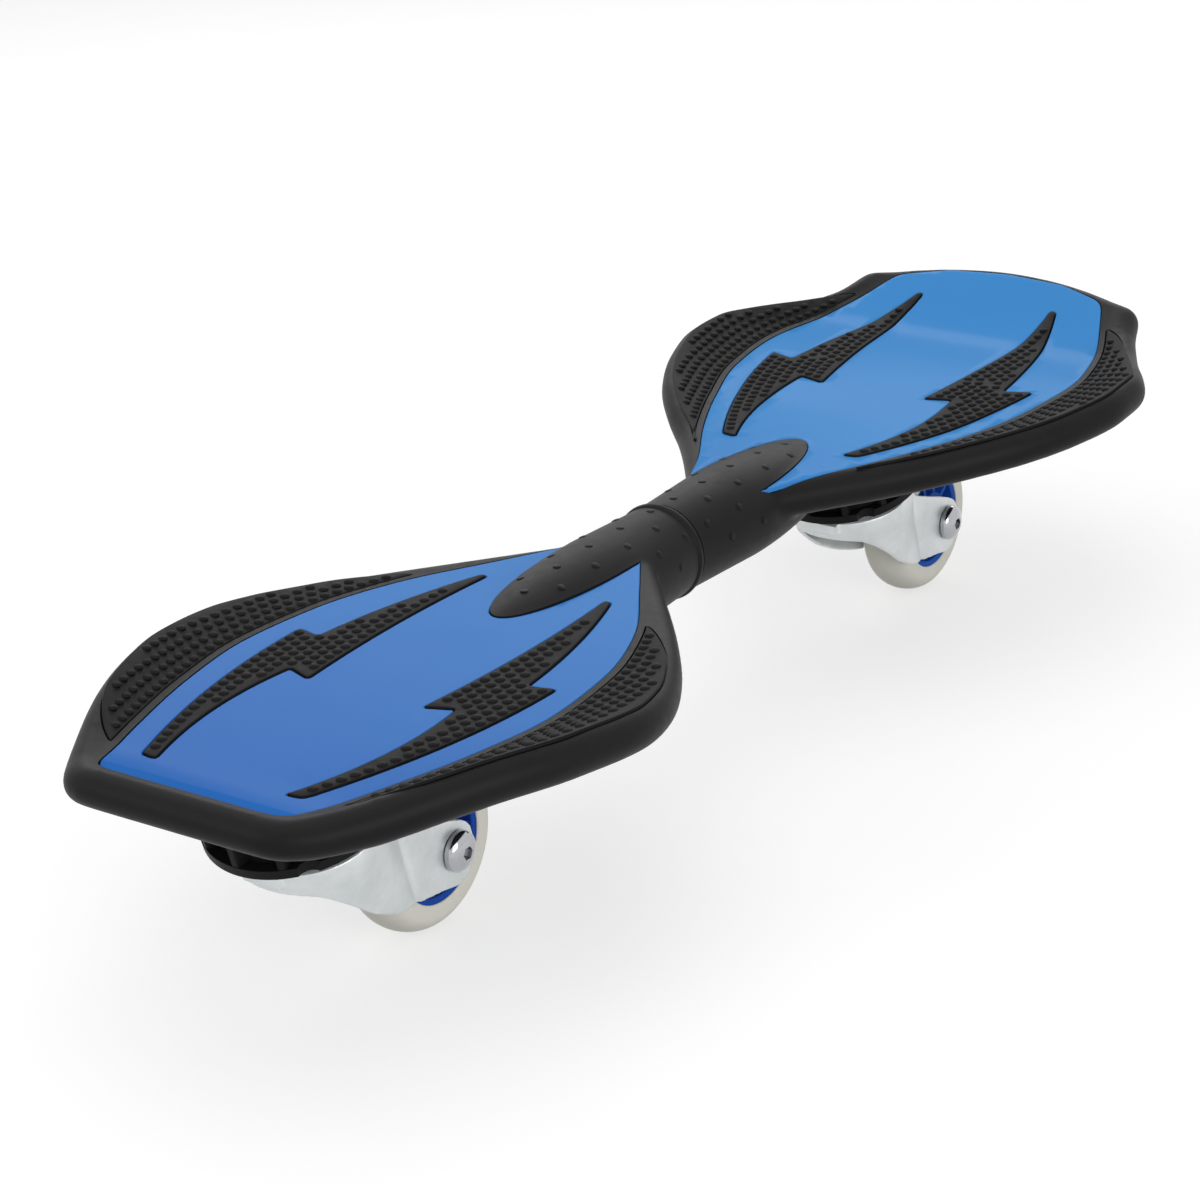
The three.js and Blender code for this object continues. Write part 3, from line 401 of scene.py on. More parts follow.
def settled(made):
    """Applies the object's modifiers."""
    graph = bpy.context.evaluated_depsgraph_get()
    old = made.data
    made.data = bpy.data.meshes.new_from_object(made.evaluated_get(graph))
    made.modifiers.clear()
    name = old.name
    bpy.data.meshes.remove(old)
    made.data.name = name
    return made


def cut(made, tools, how="DIFFERENCE"):
    """Cuts, joins or keeps the common part with each tool in turn, and clears the tools away."""
    for tool in tools:
        work = made.modifiers.new(how.lower(), "BOOLEAN")
        work.operation, work.object, work.solver = how, tool, "MANIFOLD"
        settled(made)
        bpy.data.meshes.remove(tool.data)
    return made


def tool(bm, placed=Matrix.Identity(4)):
    """A bmesh as a throwaway object for a cut. Its faces are made triangles, which are always flat."""
    bmesh.ops.triangulate(bm, faces=bm.faces)
    return piece_from(bm, "tool", placed)


def joined(made, parts):
    """Adds closed parts to a piece without cutting either."""
    bm = bmesh.new()
    bm.from_mesh(made.data)
    for part in parts:
        bm.from_mesh(part.data)
        bpy.data.meshes.remove(part.data)
    bm.to_mesh(made.data)
    bm.free()
    return made


def copied(form, name, placed):
    """A copy of a form that was made once in its own frame, laid in its place."""
    mesh = form.data.copy()
    mesh.name = name
    mesh.transform(Matrix.Scale(MM, 4) @ placed @ Matrix.Scale(1 / MM, 4))
    made = bpy.data.objects.new(name, mesh)
    scene.collection.objects.link(made)
    return made


def reworked(made, change):
    """Runs a bmesh change on a finished object, in metres."""
    bm = bmesh.new()
    bm.from_mesh(made.data)
    change(bm)
    bm.to_mesh(made.data)
    bm.free()
    return made


def domes(spots, radius, height):
    """Copies of one small sphere, flattened and set at (place, direction) pairs."""
    ball = bmesh.new()
    bmesh.ops.create_uvsphere(ball, u_segments=12, v_segments=8, radius=1)
    form = bpy.data.meshes.new("dome")
    bm = bmesh.new()
    for spot, normal in spots:
        turn = Vector((0, 0, 1)).rotation_difference(normal).to_matrix().to_4x4()
        ball.to_mesh(form)
        form.transform(Matrix.Translation(spot) @ turn @ Matrix.Diagonal((radius, radius, height, 1)))
        bm.from_mesh(form)
    ball.free()
    bpy.data.meshes.remove(form)
    return piece_from(bm, "domes")


def smooth(made, sharp=SHARP):
    """Smooth shading that keeps real corners sharp."""
    made.data.shade_smooth()
    made.data.set_sharp_from_angle(angle=sharp)
    return made


# %% [markdown]
# ## The deck shell
# On the real board the deck is one injection moulding: the dished top, a thick round rim, and the neck that grows
# out of it as a tongue. Two rough skins, slab and barrel, overlap here. A voxel remesh fuses them, and a few
# smoothing passes give the soft fillets of a moulding, which a plain Boolean union would leave as hard creases.

# %% The slab of a deck
ACROSS_SHARES = [0, 0.4, 0.62, 0.7, 0.78, 0.86, 0.93]
RIM_ANGLES = steps(90, -90, 12)
UNDER_SHARE = 0.62


def slab(deck):
    """The deck without its neck: a section that runs round the outline."""
    line = outline(deck)
    turn = 1 if area_of(line) > 0 else -1
    normals = [n * turn for n in outward(line)]

    def section(i):
        (x, y), n = line[i], normals[i]
        sx, sy = x - n.x * RIM_RADIUS, y - n.y * RIM_RADIUS
        thinning = NOSE_THINNING * max(1 - (sx - front.end) / NOSE_THIN_LENGTH, 0)
        half = (RIM_THICKNESS - thinning) / 2
        mid = deck.top(sx, sy) - half
        floor = deck.top(sx, 0) - DECK_THICKNESS + thinning
        over = [Vector((sx, sy * s, deck.top(sx, sy * s))) for s in ACROSS_SHARES]
        rim = []
        for angle in RIM_ANGLES:
            a = math.radians(angle)
            reach = RIM_RADIUS * math.cos(a)
            rim.append(Vector((sx + n.x * reach, sy + n.y * reach, mid + half * math.sin(a))))
        return over + rim + [Vector((sx, sy * UNDER_SHARE, floor)), Vector((sx, 0, floor))]

    sections = [section(i) for i in range(len(line))]
    return closed(skin(len(line) - 1, len(sections[0]) - 1, lambda i, j: sections[i][j]))


# %% The barrel and tongue of a neck
BARREL_SIDES = 72
TONGUE_STEPS = 26
SEAM_OVERRUN = 4.0


def barrel_rings(deck, grow=0.0):
    """Stations (x, half width, half height) from beyond the seam to the tip of the tongue."""
    reach = deck.tongue / TONGUE_SHARE
    start = (deck.seam - deck.side * SEAM_OVERRUN, NECK_END_RADIUS, NECK_END_RADIUS)
    seam = (deck.seam, NECK_END_RADIUS, NECK_END_RADIUS)
    rows = [start, seam]
    for share in [s / TONGUE_STEPS for s in range(TONGUE_STEPS)] + [0.985, 0.997]:
        scale = math.sqrt(1 - share * share)
        rows.append((deck.base + deck.side * reach * share, NECK_HALF_WIDTH * scale, NECK_HALF_HEIGHT * scale))
    return [(x, wide + grow, high + grow) for x, wide, high in rows]


def barrel(deck, grow=0.0):
    """The neck as a closed skin."""
    rows = barrel_rings(deck, grow)

    def place(i, j):
        x, wide, high = rows[j]
        a = 2 * math.pi * i / BARREL_SIDES
        return Vector((x, wide * math.cos(a), NECK_Z + high * math.sin(a)))

    return closed(skin(BARREL_SIDES, len(rows) - 1, place))


# %% [markdown]
# ## Plates that follow the dished top
# The panel and the grips lie in shallow recesses of even depth. Each starts as a flat plate between plan lines,
# with its edge rounded by a few stepped rings. bisect_plane cuts it along a square grid, the odd edges are
# dissolved, and then every vertex is raised by the height of the deck under it. The same recipe with plain sides
# gives the cutter for the recess, so a plate and its recess always match.

# %% A flat plate, and how it is draped
CELL = 6.0
LEVEL = 0.999
EDGE_RINGS = [(0, -0.5), (0.14, -0.16), (0.5, 0)]


def on_grid(edge):
    """Whether an edge lies along a line of the square grid."""
    low, high = (v.co for v in edge.verts)
    return any(
        abs(high[k] - low[k]) < WELD and abs(low[k] / CELL - round(low[k] / CELL)) < WELD for k in (0, 1)
    )


def slice_at(bm, axis, place):
    """Cuts a bmesh along a plane without parting it."""
    everything = bm.verts[:] + bm.edges[:] + bm.faces[:]
    bmesh.ops.bisect_plane(bm, geom=everything, plane_co=axis * place, plane_no=axis, dist=WELD)


def plate(outer, rings, holes=()):
    """A flat closed plate between plan lines. The rings go up its side as (inset, height) pairs."""
    bm = bmesh.new()
    ends = ([], [])
    for loop, way in [(outer, 1), *((hole, -1) for hole in holes)]:
        levels = []
        for inset, height in rings:
            verts = [bm.verts.new((x, y, height)) for x, y in drawn_in(loop, way * inset)]
            levels.append([bm.edges.new(pair) for pair in zip(verts, verts[1:] + verts[:1])])
        for low, high in zip(levels, levels[1:]):
            bmesh.ops.bridge_loops(bm, edges=low + high)
        ends[0].extend(levels[0])
        ends[1].extend(levels[-1])
    for edges in ends:
        bmesh.ops.triangle_fill(bm, edges=edges, use_beauty=True)
    for axis in (Vector((1, 0, 0)), Vector((0, 1, 0))):
        reach = [v.co.dot(axis) for v in bm.verts]
        for k in range(math.ceil(min(reach) / CELL), math.ceil(max(reach) / CELL)):
            slice_at(bm, axis, k * CELL)
    bm.normal_update()
    spare = [e for e in bm.edges if all(abs(f.normal.z) > LEVEL for f in e.link_faces) and not on_grid(e)]
    bmesh.ops.dissolve_edges(bm, edges=spare, use_verts=True)
    return bm


def draped(deck, bm):
    """Raises a flat plate onto the top face of a deck."""
    for vert in bm.verts:
        vert.co.z += deck.top(vert.co.x, vert.co.y)
    bmesh.ops.recalc_face_normals(bm, faces=bm.faces)
    return bm


def pocket_for(deck, loop, low, high):
    """The cutter for a recess between two heights over the top face."""
    return tool(draped(deck, plate(loop, [(0, low), (0, high)])))


# %% Plan lines of the panel, the bolts and the pads
PLAN_GAP = 2.5
PANEL_CORNER_PASSES = {"front": 9, "rear": 5}
PANEL_END_GAP = {"front": 0.0, "rear": 2.6}
BOLT_BOW = 6.0
BOLT_INNER_BOW = 3.0
TIP_WIDTH = 3.2
PAD_FROM_PANEL = 3.0
PAD_FROM_RIM = 6.5
PAD_LEAST = 2.4
PAD_TAPER = 30.0
PAD_STEPS = 90


def panel_loop(deck):
    """The panel with the tongue's bay at its neck end."""
    xs = [deck.at(x) for x, _ in (deck.panel_rows[0], deck.panel_rows[-1])]
    if deck.side < 0:
        xs.reverse()
    edge = [(x, deck.panel(x)) for x in steps(xs[0], xs[1], 110)]
    gap = PANEL_END_GAP[deck.label]
    bow = [(deck.at(x) - gap, y * deck.half) for x, y in deck.bow]
    far = edge + bow
    back = [(x, -y) for x, y in reversed(far) if y > 0]
    bay = [
        (deck.base + deck.side * deck.tongue * math.cos(a), TONGUE_HALF_WIDTH * math.sin(a))
        for a in steps(-math.pi / 2, math.pi / 2, 60)
    ]
    return rounded(spaced(far + back, PLAN_GAP), PANEL_CORNER_PASSES[deck.label]) + spaced(bay, PLAN_GAP)[1:-1]


def bowed(start, stop, offset):
    """Points from one place to another, bowed sideways."""
    return [
        (start[0] + (stop[0] - start[0]) * t, start[1] + (stop[1] - start[1]) * t + 4 * offset * t * (1 - t))
        for t in steps(0, 1, 24)[:-1]
    ]


def bolt_loop(deck, mirror):
    """The lightning bolt grip."""
    b = deck.bolt
    line = bowed(b["blunt_outer"], b["outer_bump"], BOLT_BOW) + [b["outer_bump"]]
    (x, y), half = b["tip"], TIP_WIDTH / 2
    line += bowed(b["outer_notch"], (x, y + half), BOLT_INNER_BOW) + [(x, y + half)]
    line += bowed((x, y - half), b["inner_bump"], BOLT_INNER_BOW) + [b["inner_bump"]]
    line += bowed(b["inner_notch"], b["blunt"], BOLT_BOW) + [b["blunt"]]
    start = len(line) // 10
    around = rounded(spaced(line[start:] + line[:start + 1], 1.0), 3)
    return [(x, mirror * y) for x, y in spaced(around, 1.6)[:-1]]


def pad_edges(deck, x):
    """Inner and outer edge of a side pad, drawn together at its ends."""
    inner = deck.panel(x) + PAD_FROM_PANEL
    wide = max(deck.width(x) - PAD_FROM_RIM - inner, PAD_LEAST)
    low, high = deck.pad_span
    share = min((x - low) / PAD_TAPER, (high - x) / PAD_TAPER, 1)
    return inner, inner + wide * math.sqrt(max(share * (2 - share), 0.02))


def pad_loop(deck, mirror):
    """A long side pad between the panel and the rim."""
    xs = steps(*deck.pad_span, PAD_STEPS)
    inner = [(x, mirror * pad_edges(deck, x)[0]) for x in xs]
    outer = [(x, mirror * pad_edges(deck, x)[1]) for x in xs]
    return spaced(rounded(spaced(inner + outer[::-1], 1.0), 3), PLAN_GAP)


# %% [markdown]
# ## Finishes
# Every finish is procedural. Noise at two or three scales gives the grain of the mould, faint clouds of wear and
# an uneven gloss. The maths between nodes reads as ordinary sums, because a small class wraps a socket and
# overloads the operators.

# %% Sockets that can be added and multiplied


def feed(tree, socket, value):
    """Links a signal to a socket, or sets a plain value on it."""
    if isinstance(value, Signal):
        tree.links.new(value.socket, socket)
    else:
        socket.default_value = value


class Signal:
    """One output socket. Sums and products with it make the maths nodes."""

    def __init__(self, tree, socket):
        self.tree, self.socket = tree, socket

    def step(self, operation, first, second, clamp=False):
        made = self.tree.nodes.new("ShaderNodeMath")
        made.operation, made.use_clamp = operation, clamp
        feed(self.tree, made.inputs[0], first)
        feed(self.tree, made.inputs[1], second)
        return Signal(self.tree, made.outputs[0])

    def __add__(self, other):
        return self.step("ADD", self, other)

    def __sub__(self, other):
        return self.step("SUBTRACT", self, other)

    def __mul__(self, other):
        return self.step("MULTIPLY", self, other)

    __radd__ = __add__
    __rmul__ = __mul__

    def between(self, low, high):
        """0 below low, 1 above high and even in between."""
        return self.step("DIVIDE", self - low, high - low, clamp=True)


class Finish:
    """One material, with a single method that makes its nodes."""

    def __init__(self, name):
        self.material = bpy.data.materials.new(name)
        self.material.use_nodes = True
        self.tree = self.material.node_tree
        self.shader = self.tree.nodes["Principled BSDF"]
        self.place = self.node("ShaderNodeTexCoord", {}, "Object")

    def node(self, kind, settings, output, **sockets):
        """A node of a kind with settings, its sockets fed by name, and one of its outputs."""
        made = self.tree.nodes.new(kind)
        for name, value in settings.items():
            setattr(made, name, value)
        for name, value in sockets.items():
            feed(self.tree, made.inputs[name], value)
        return Signal(self.tree, made.outputs[output])

    def noise(self, size, detail=2.0, place=None):
        """Noise whose features are about size millimetres across."""
        at = place or self.place
        return self.node("ShaderNodeTexNoise", {}, "Fac", Vector=at, Scale=1 / (size * MM), Detail=detail)

    def blend(self, share, low, high):
        """A colour between two colours."""
        made = self.tree.nodes.new("ShaderNodeMix")
        made.data_type = "RGBA"
        for index, value in ((0, share), (6, (*low, 1)), (7, (*high, 1))):
            feed(self.tree, made.inputs[index], value)
        return Signal(self.tree, made.outputs[2])

    def along(self, axis):
        """One coordinate of the place, in metres."""
        return self.node("ShaderNodeSeparateXYZ", {}, axis, Vector=self.place)

    def shade(self, height=None, depth=0.05, **sockets):
        """Sets the shader, with an optional relief of a depth in millimetres."""
        for name, value in sockets.items():
            feed(self.tree, self.shader.inputs[name.replace("_", " ")], value)
        if height:
            relief = self.node("ShaderNodeBump", {}, "Normal", Height=height, Distance=depth * MM, Strength=1.0)
            feed(self.tree, self.shader.inputs["Normal"], relief)
        return self.material


# %% Plastics
def grained_plastic(name, low, high, gloss, grain, depth, sheen=0.1):
    """Moulded plastic with a fine spark-eroded grain and faint handling marks."""
    look = Finish(name)
    clouds = look.noise(34, 4.0)
    fine = look.noise(grain, 2.0)
    marks = look.noise(9, 6.0).between(0.58, 0.72)
    colour = look.blend(clouds * 0.75 + marks * 0.25, low, high)
    rough = look.noise(5, 3.0) * 0.1 + clouds * 0.08 + (gloss - 0.09) + marks * 0.05
    return look.shade(fine, depth, Base_Color=colour, Roughness=rough, Specular_IOR_Level=sheen)


def gloss_plastic_painted_reflection(name, near, far, start, stop):
    """Glossy coloured plastic under a clear coat, with a painted reflection: the darker near colour at start turns
    to the lighter far colour at stop along the board.
    """
    look = Finish(name)
    # Painted reflection: the colour runs from the dark near blue to the light far blue along X, with a little random
    # tone from the noise.
    share = look.along("X").between(start * MM, stop * MM) * 0.8 + look.noise(70, 2.0) * 0.2
    peel = look.noise(5.5, 2.0) + look.noise(24, 1.0) * 2
    rough = look.noise(16, 4.0) * 0.08 + 0.2
    return look.shade(
        peel, 0.006, Base_Color=look.blend(share, near, far), Roughness=rough, Specular_IOR_Level=0.0,
        Coat_Weight=0.12, Coat_Roughness=0.13,
    )


# %% Metals
def pressed_zinc(name):
    """Zinc plate: cloudy, slightly blue, with faint rolling streaks."""
    look = Finish(name)
    clouds = look.noise(16, 5.0)
    patches = look.noise(5, 3.0)
    stretched = look.node("ShaderNodeMapping", {}, "Vector", Vector=look.place, Scale=(1.0, 1.0, 9.0))
    streaks = look.noise(9, 3.0, stretched)
    colour = look.blend(clouds * 0.6 + patches * 0.25 + streaks * 0.15, (0.5, 0.55, 0.56), (0.93, 0.95, 0.95))
    rough = clouds * 0.2 + streaks * 0.1 + 0.24
    return look.shade(
        patches + streaks * 0.6, 0.03, Base_Color=colour, Roughness=rough, Metallic=0.5 + 0.3 * clouds,
    )


def bright_metal(name, low, high, rough, depth):
    """Turned or plated metal with hairlines."""
    look = Finish(name)
    stretched = look.node("ShaderNodeMapping", {}, "Vector", Vector=look.place, Scale=(1.0, 14.0, 1.0))
    lines = look.noise(3, 4.0, stretched)
    clouds = look.noise(11, 3.0)
    return look.shade(
        lines, depth, Base_Color=look.blend(clouds, low, high), Roughness=lines * 0.5 * rough + 0.75 * rough,
        Metallic=0.96 + 0.04 * clouds,
    )


# %% The set of finishes, by the CAD model's slots
FINISH = {
    "deck": grained_plastic("moulded_black", (0.008, 0.0075, 0.008), (0.015, 0.0145, 0.015), 0.46, 0.55, 0.03),
    "mount": grained_plastic("glass_filled_black", (0.006, 0.0055, 0.0055), (0.012, 0.0115, 0.0115), 0.5, 0.8, 0.05),
    "grip": grained_plastic("soft_grip_black", (0.006, 0.0055, 0.006), (0.011, 0.0105, 0.011), 0.58, 0.4, 0.02),
    # The panel's two blues are the shaded and lit ends of a painted reflection, dark at the front and light towards
    # the back.
    "panel": gloss_plastic_painted_reflection("gloss_blue_painted_reflection", (0.012, 0.12, 0.46), (0.055, 0.27, 0.63), front.at(0.1), rear.at(0.4)),
    "hub": gloss_plastic_painted_reflection("hub_blue", (0.012, 0.07, 0.4), (0.02, 0.11, 0.5), -40, 40),
    "zinc": pressed_zinc("zinc_plate"),
    "chrome": bright_metal("chrome_plate", (0.36, 0.37, 0.39), (0.52, 0.53, 0.55), 0.09, 0.002),
    "steel": bright_metal("bare_steel", (0.4, 0.4, 0.41), (0.62, 0.62, 0.63), 0.36, 0.01),
    "tread": grained_plastic("ivory_urethane", (0.8, 0.78, 0.69), (0.91, 0.9, 0.83), 0.4, 1.1, 0.02),
    "bush": grained_plastic("white_acetal", (0.66, 0.64, 0.58), (0.78, 0.77, 0.72), 0.4, 1.0, 0.02),
}
print("finishes:", ", ".join(sorted(FINISH)))


# %% Handing a piece its finish
def dressed(made, slot, body, sharp=SHARP):
    """Gives a piece its finish and its body."""
    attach(made, body)
    made.data.materials.clear()
    made.data.materials.append(FINISH[slot])
    return smooth(made, sharp)


def frame_body(node):
    """The body that a CAD node rides on."""
    return body_of(frame["nodes"][node])[0]


# %% The underside of a deck
POCKET_ROOF = 8.0
POCKET_RIM = 11.0
POCKET_CLEAR = 4.0
SPINE_WIDTH = 10.0
RIB_WIDTH = 4.0
CROSS_RIB_PITCH = 48.0
CROSS_RIBS = 4
LONG_RIB_PLACE = 47.0
BOSS_RADIUS = 52.0
MOUNT_ROOM = 2.0


def block(low, high):
    """A plain box between two corners, for cutting."""
    loop = [(low[0], low[1]), (high[0], low[1]), (high[0], high[1]), (low[0], high[1])]
    return prism(loop, low[2], high[2])


def pockets(deck):
    """What is hollowed out under a deck, between its ribs."""
    span = steps(*deck.pocket_span, 60)
    upper = [(x, deck.width(x) - POCKET_RIM) for x in span]
    body = pocket_for(deck, upper + [(x, -y) for x, y in reversed(upper)], -FOOT_Z, -POCKET_ROOF)
    low_x, high_x = deck.pocket_span
    ribs = []
    for k in range(-CROSS_RIBS, CROSS_RIBS + 1):
        x = deck.pivot_x + k * CROSS_RIB_PITCH
        ribs.append(tool(block((x - RIB_WIDTH / 2, -deck.half, 0), (x + RIB_WIDTH / 2, deck.half, 2 * FOOT_Z))))
    for y, width in ((0, SPINE_WIDTH), (-LONG_RIB_PLACE, RIB_WIDTH), (LONG_RIB_PLACE, RIB_WIDTH)):
        ribs.append(tool(block((low_x - 1, y - width / 2, 0), (high_x + 1, y + width / 2, 2 * FOOT_Z))))
    ribs.append(tool(disc(BOSS_RADIUS + POCKET_CLEAR, 0, 2 * FOOT_Z, (deck.pivot_x, 0))))
    ribs.append(tool(barrel(deck, POCKET_CLEAR)))
    return cut(body, ribs)


# %% Small pips on the neck
PIP_RADIUS = 1.9
PIP_HEIGHT = 0.45
PIP_PITCH = 24.0
PIP_TURN = math.radians(27)
PIP_ROWS = 3
PIP_START = 9.0
PIP_END_SHARE = 0.8


def pips(deck):
    """Places and directions of the staggered pips on the upper half of the neck."""
    reach = deck.tongue / TONGUE_SHARE
    last = abs(deck.base - deck.seam) + reach * PIP_END_SHARE
    found = []
    for row in range(-PIP_ROWS, PIP_ROWS + 1):
        along = PIP_START + (row % 2) * PIP_PITCH / 2
        a = math.pi / 2 + row * PIP_TURN
        while along < last:
            x = deck.seam + deck.side * along
            share = max((x - deck.base) * deck.side / reach, 0)
            part = min(along / abs(deck.base - deck.seam), 1)
            scale = math.sqrt(1 - share * share)
            wide = (NECK_END_RADIUS + (NECK_HALF_WIDTH - NECK_END_RADIUS) * part) * scale
            high = (NECK_END_RADIUS + (NECK_HALF_HEIGHT - NECK_END_RADIUS) * part) * scale
            spot = Vector((x, wide * math.cos(a), NECK_Z + high * math.sin(a)))
            if spot.z > deck.top(x, spot.y) + PIP_RADIUS or share == 0:
                found.append((spot, Vector((0, math.cos(a) / wide, math.sin(a) / high)).normalized()))
            along += PIP_PITCH
    return found


# %% The finished shell
VOXEL = 1.5 * MM
SOFTENING = 5
PANEL_THICKNESS = 2.0
PANEL_SEAT = 0.4
PAD_THICKNESS = 1.6
LIP_LENGTH = 6.0
LIP_PROUD = 1.2
LIP_SINK = 2.0
ONTO_X = Matrix.Rotation(math.pi / 2, 4, "Y")


def along_neck(x):
    """Lays a shape drawn about Z along the neck's axis."""
    return Matrix.Translation((x, 0, NECK_Z)) @ ONTO_X


def softened(made, voxel, passes):
    """Fuses overlapping skins into one and rounds every crease."""
    remesh = made.modifiers.new("fuse", "REMESH")
    remesh.mode, remesh.voxel_size = "VOXEL", voxel
    soften = made.modifiers.new("soften", "SMOOTH")
    soften.factor, soften.iterations = 0.5, passes
    return settled(made)


def trimmed(made, place, normal):
    """Cuts away what lies beyond a plane given in millimetres, and closes the cut."""

    def change(bm):
        everything = bm.verts[:] + bm.edges[:] + bm.faces[:]
        bmesh.ops.bisect_plane(
            bm, geom=everything, plane_co=Vector(place) * MM, plane_no=normal, clear_outer=True,
        )
        bmesh.ops.holes_fill(bm, edges=[e for e in bm.edges if e.is_boundary], sides=0)

    return reworked(made, change)


def deck_shell(deck):
    """The shell with its recesses, pockets, bore and, on the front neck, the collar."""
    made = piece_from(slab(deck), f"{deck.label}_deck_shell")
    top = deck.top(deck.pivot_x, 0) - POCKET_ROOF
    boss = disc(BOSS_RADIUS, MOUNT_TOP_Z - MOUNT_ROOM, top, (deck.pivot_x, 0))
    joined(made, [tool(barrel(deck)), tool(boss)])
    softened(made, VOXEL, SOFTENING)
    trimmed(made, (deck.seam, 0, 0), (-deck.side, 0, 0))
    if deck.side < 0:
        root = NECK_END_RADIUS - LIP_SINK
        crown = [
            (root + (LIP_PROUD + LIP_SINK) * math.sin(a), -LIP_LENGTH / 2 * (1 - math.cos(a)))
            for a in steps(0, math.pi, 14)
        ]
        lip = turned([(BORE_RADIUS, 0), *crown, (BORE_RADIUS, -LIP_LENGTH)], BARREL_SIDES)
        cut(made, [tool(lip, along_neck(deck.seam))], "UNION")
    recess = pocket_for(deck, panel_loop(deck), -PANEL_THICKNESS - PANEL_SEAT, FOOT_Z)
    pads = [pocket_for(deck, pad_loop(deck, mirror), -PAD_THICKNESS, FOOT_Z) for mirror in (-1, 1)]
    bore = tool(disc(BORE_RADIUS, -BORE_REACH, BORE_REACH), along_neck(SEAM_X))
    room = tool(disc(MOUNT_RADIUS + MOUNT_ROOM, 0, MOUNT_TOP_Z + SEAM_GAP, (deck.pivot_x, 0)))
    cut(made, [recess, *pads, pockets(deck), bore, room])
    joined(made, [domes(pips(deck), PIP_RADIUS, PIP_HEIGHT)])
    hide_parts(f"{deck.label}_deck")
    return dressed(made, "deck", f"{deck.label}_board")


shells = [deck_shell(deck) for deck in DECKS]
for shell in shells:
    print(shell.name, "has", len(shell.data.polygons), "faces")

# %% [markdown]
# ## The gloss panels
# Each panel is a thin moulded cover in its recess, with a hair of dark gap all round. The front one has a crease
# close behind its front edge, where the plastic folds down towards the nose.

# %% The panels
PLAY = 0.35
CREASE_BACK = 7.0
CREASE_SLOPE = 0.3
PANEL_SHARP = {"front": math.radians(9), "rear": math.radians(50)}
CREASED_ABOVE = -1.0


def plate_rings(low, play, lift=0.0):
    """The rings of a plate with play to its recess, which ends at a lift over the top face."""
    return [(play, low)] + [(inset + play, height + lift) for inset, height in EDGE_RINGS]


def panel(deck):
    """The blue cover of a deck."""
    bolts = [bolt_loop(deck, mirror) for mirror in (-1, 1)]
    bm = plate(panel_loop(deck), plate_rings(-PANEL_THICKNESS, PLAY), bolts)
    if deck.side < 0:
        crease = min(v.co.x for v in bm.verts) + CREASE_BACK
        slice_at(bm, Vector((1, 0, 0)), crease)
        for vert in bm.verts:
            if vert.co.z > CREASED_ABOVE and vert.co.x < crease:
                vert.co.z -= (crease - vert.co.x) * CREASE_SLOPE
    made = piece_from(draped(deck, bm), f"{deck.label}_panel_cover")
    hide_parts(f"{deck.label}_panel")
    return dressed(made, "panel", f"{deck.label}_board", PANEL_SHARP[deck.label])


panels = [panel(deck) for deck in DECKS]
for made in panels:
    print(made.name, "has", len(made.data.polygons), "faces")

# %% [markdown]
# ## Grips and their bumps
# The bolts and the side pads are soft black grips covered in staggered domes. The rows follow the longer edges, as
# a mould maker lays them out, and a dome is left out where it would come too near an edge or another dome.

# %% Where the bumps stand
BUMP_PITCH = 6.0
ROW_PITCH = 5.2
BUMP_RADIUS = 2.2
BUMP_HEIGHT = 1.1
BUMP_MARGIN = 3.2
BUMP_APART = 0.85 * ROW_PITCH
FIRST_ROW = 3.4
MOST_ROWS = 9


def inside(loop, spot, margin):
    """Whether a place lies in a closed plan line, at least a margin from its edge."""
    x, y = spot
    within = False
    for (ax, ay), (bx, by) in zip(loop, loop[1:] + loop[:1]):
        if (ay > y) != (by > y) and x < ax + (bx - ax) * (y - ay) / (by - ay):
            within = not within
        rx, ry = bx - ax, by - ay
        t = min(max(((x - ax) * rx + (y - ay) * ry) / max(rx * rx + ry * ry, WELD), 0), 1)
        if (x - ax - rx * t) ** 2 + (y - ay - ry * t) ** 2 < margin * margin:
            return False
    return within


def bump_places(loop, lines, turn):
    """Staggered places in rows beside each line in turn, kept to the inside of a loop."""
    places = []
    for line in lines:
        even = spaced(line, BUMP_PITCH / 2)
        for row in range(MOST_ROWS):
            shift = turn * (FIRST_ROW + row * ROW_PITCH)
            for i, ((x, y), n) in enumerate(zip(even, outward(even))):
                spot = (x + n.x * shift, y + n.y * shift)
                if i % 2 != row % 2 or not inside(loop, spot, BUMP_MARGIN):
                    continue
                if all(math.dist(spot, other) > BUMP_APART for other in places):
                    places.append(spot)
    return places


def grip(deck, loop, thickness, lift, play, places, name, node):
    """One grip with a dome at each place."""
    made = piece_from(draped(deck, plate(loop, plate_rings(-thickness, play, lift))), name)
    up = Vector((0, 0, 1))
    spots = [(Vector((x, y, deck.top(x, y) + lift)), up) for x, y in places]
    joined(made, [domes(spots, BUMP_RADIUS, BUMP_HEIGHT)])
    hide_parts(node)
    return dressed(made, "grip", f"{deck.label}_board")


# %% The four bolts and the four side pads
BOLT_PROUD = 0.7
PAD_PROUD = 0.3
SIDES = (("left", 1), ("right", -1))

for deck in DECKS:
    for side, mirror in SIDES:
        b = deck.bolt
        loop = bolt_loop(deck, mirror)
        outer = [(x, mirror * y) for x, y in bowed(b["blunt_outer"], b["outer_bump"], BOLT_BOW)]
        inner = [(x, mirror * y) for x, y in bowed(b["tip"], b["inner_bump"], BOLT_INNER_BOW)]
        places = bump_places(loop, (outer, inner), mirror)
        name, node = f"{deck.label}_bolt_pad_{side}", f"{deck.label}_bolt_grip_{side}"
        grip(deck, loop, PANEL_THICKNESS, BOLT_PROUD, PLAY, places, name, node)
        loop = pad_loop(deck, mirror)
        line = [(x, mirror * pad_edges(deck, x)[0]) for x in steps(*deck.pad_span, PAD_STEPS)]
        more = bump_places(loop, (line,), -mirror)
        name, node = f"{deck.label}_side_pad_{side}", f"{deck.label}_side_grip_{side}"
        grip(deck, loop, PAD_THICKNESS - SEAM_GAP, PAD_PROUD, 2 * PLAY, more, name, node)
        print(deck.label, side, "bolt has", len(places), "bumps and the pad", len(more))

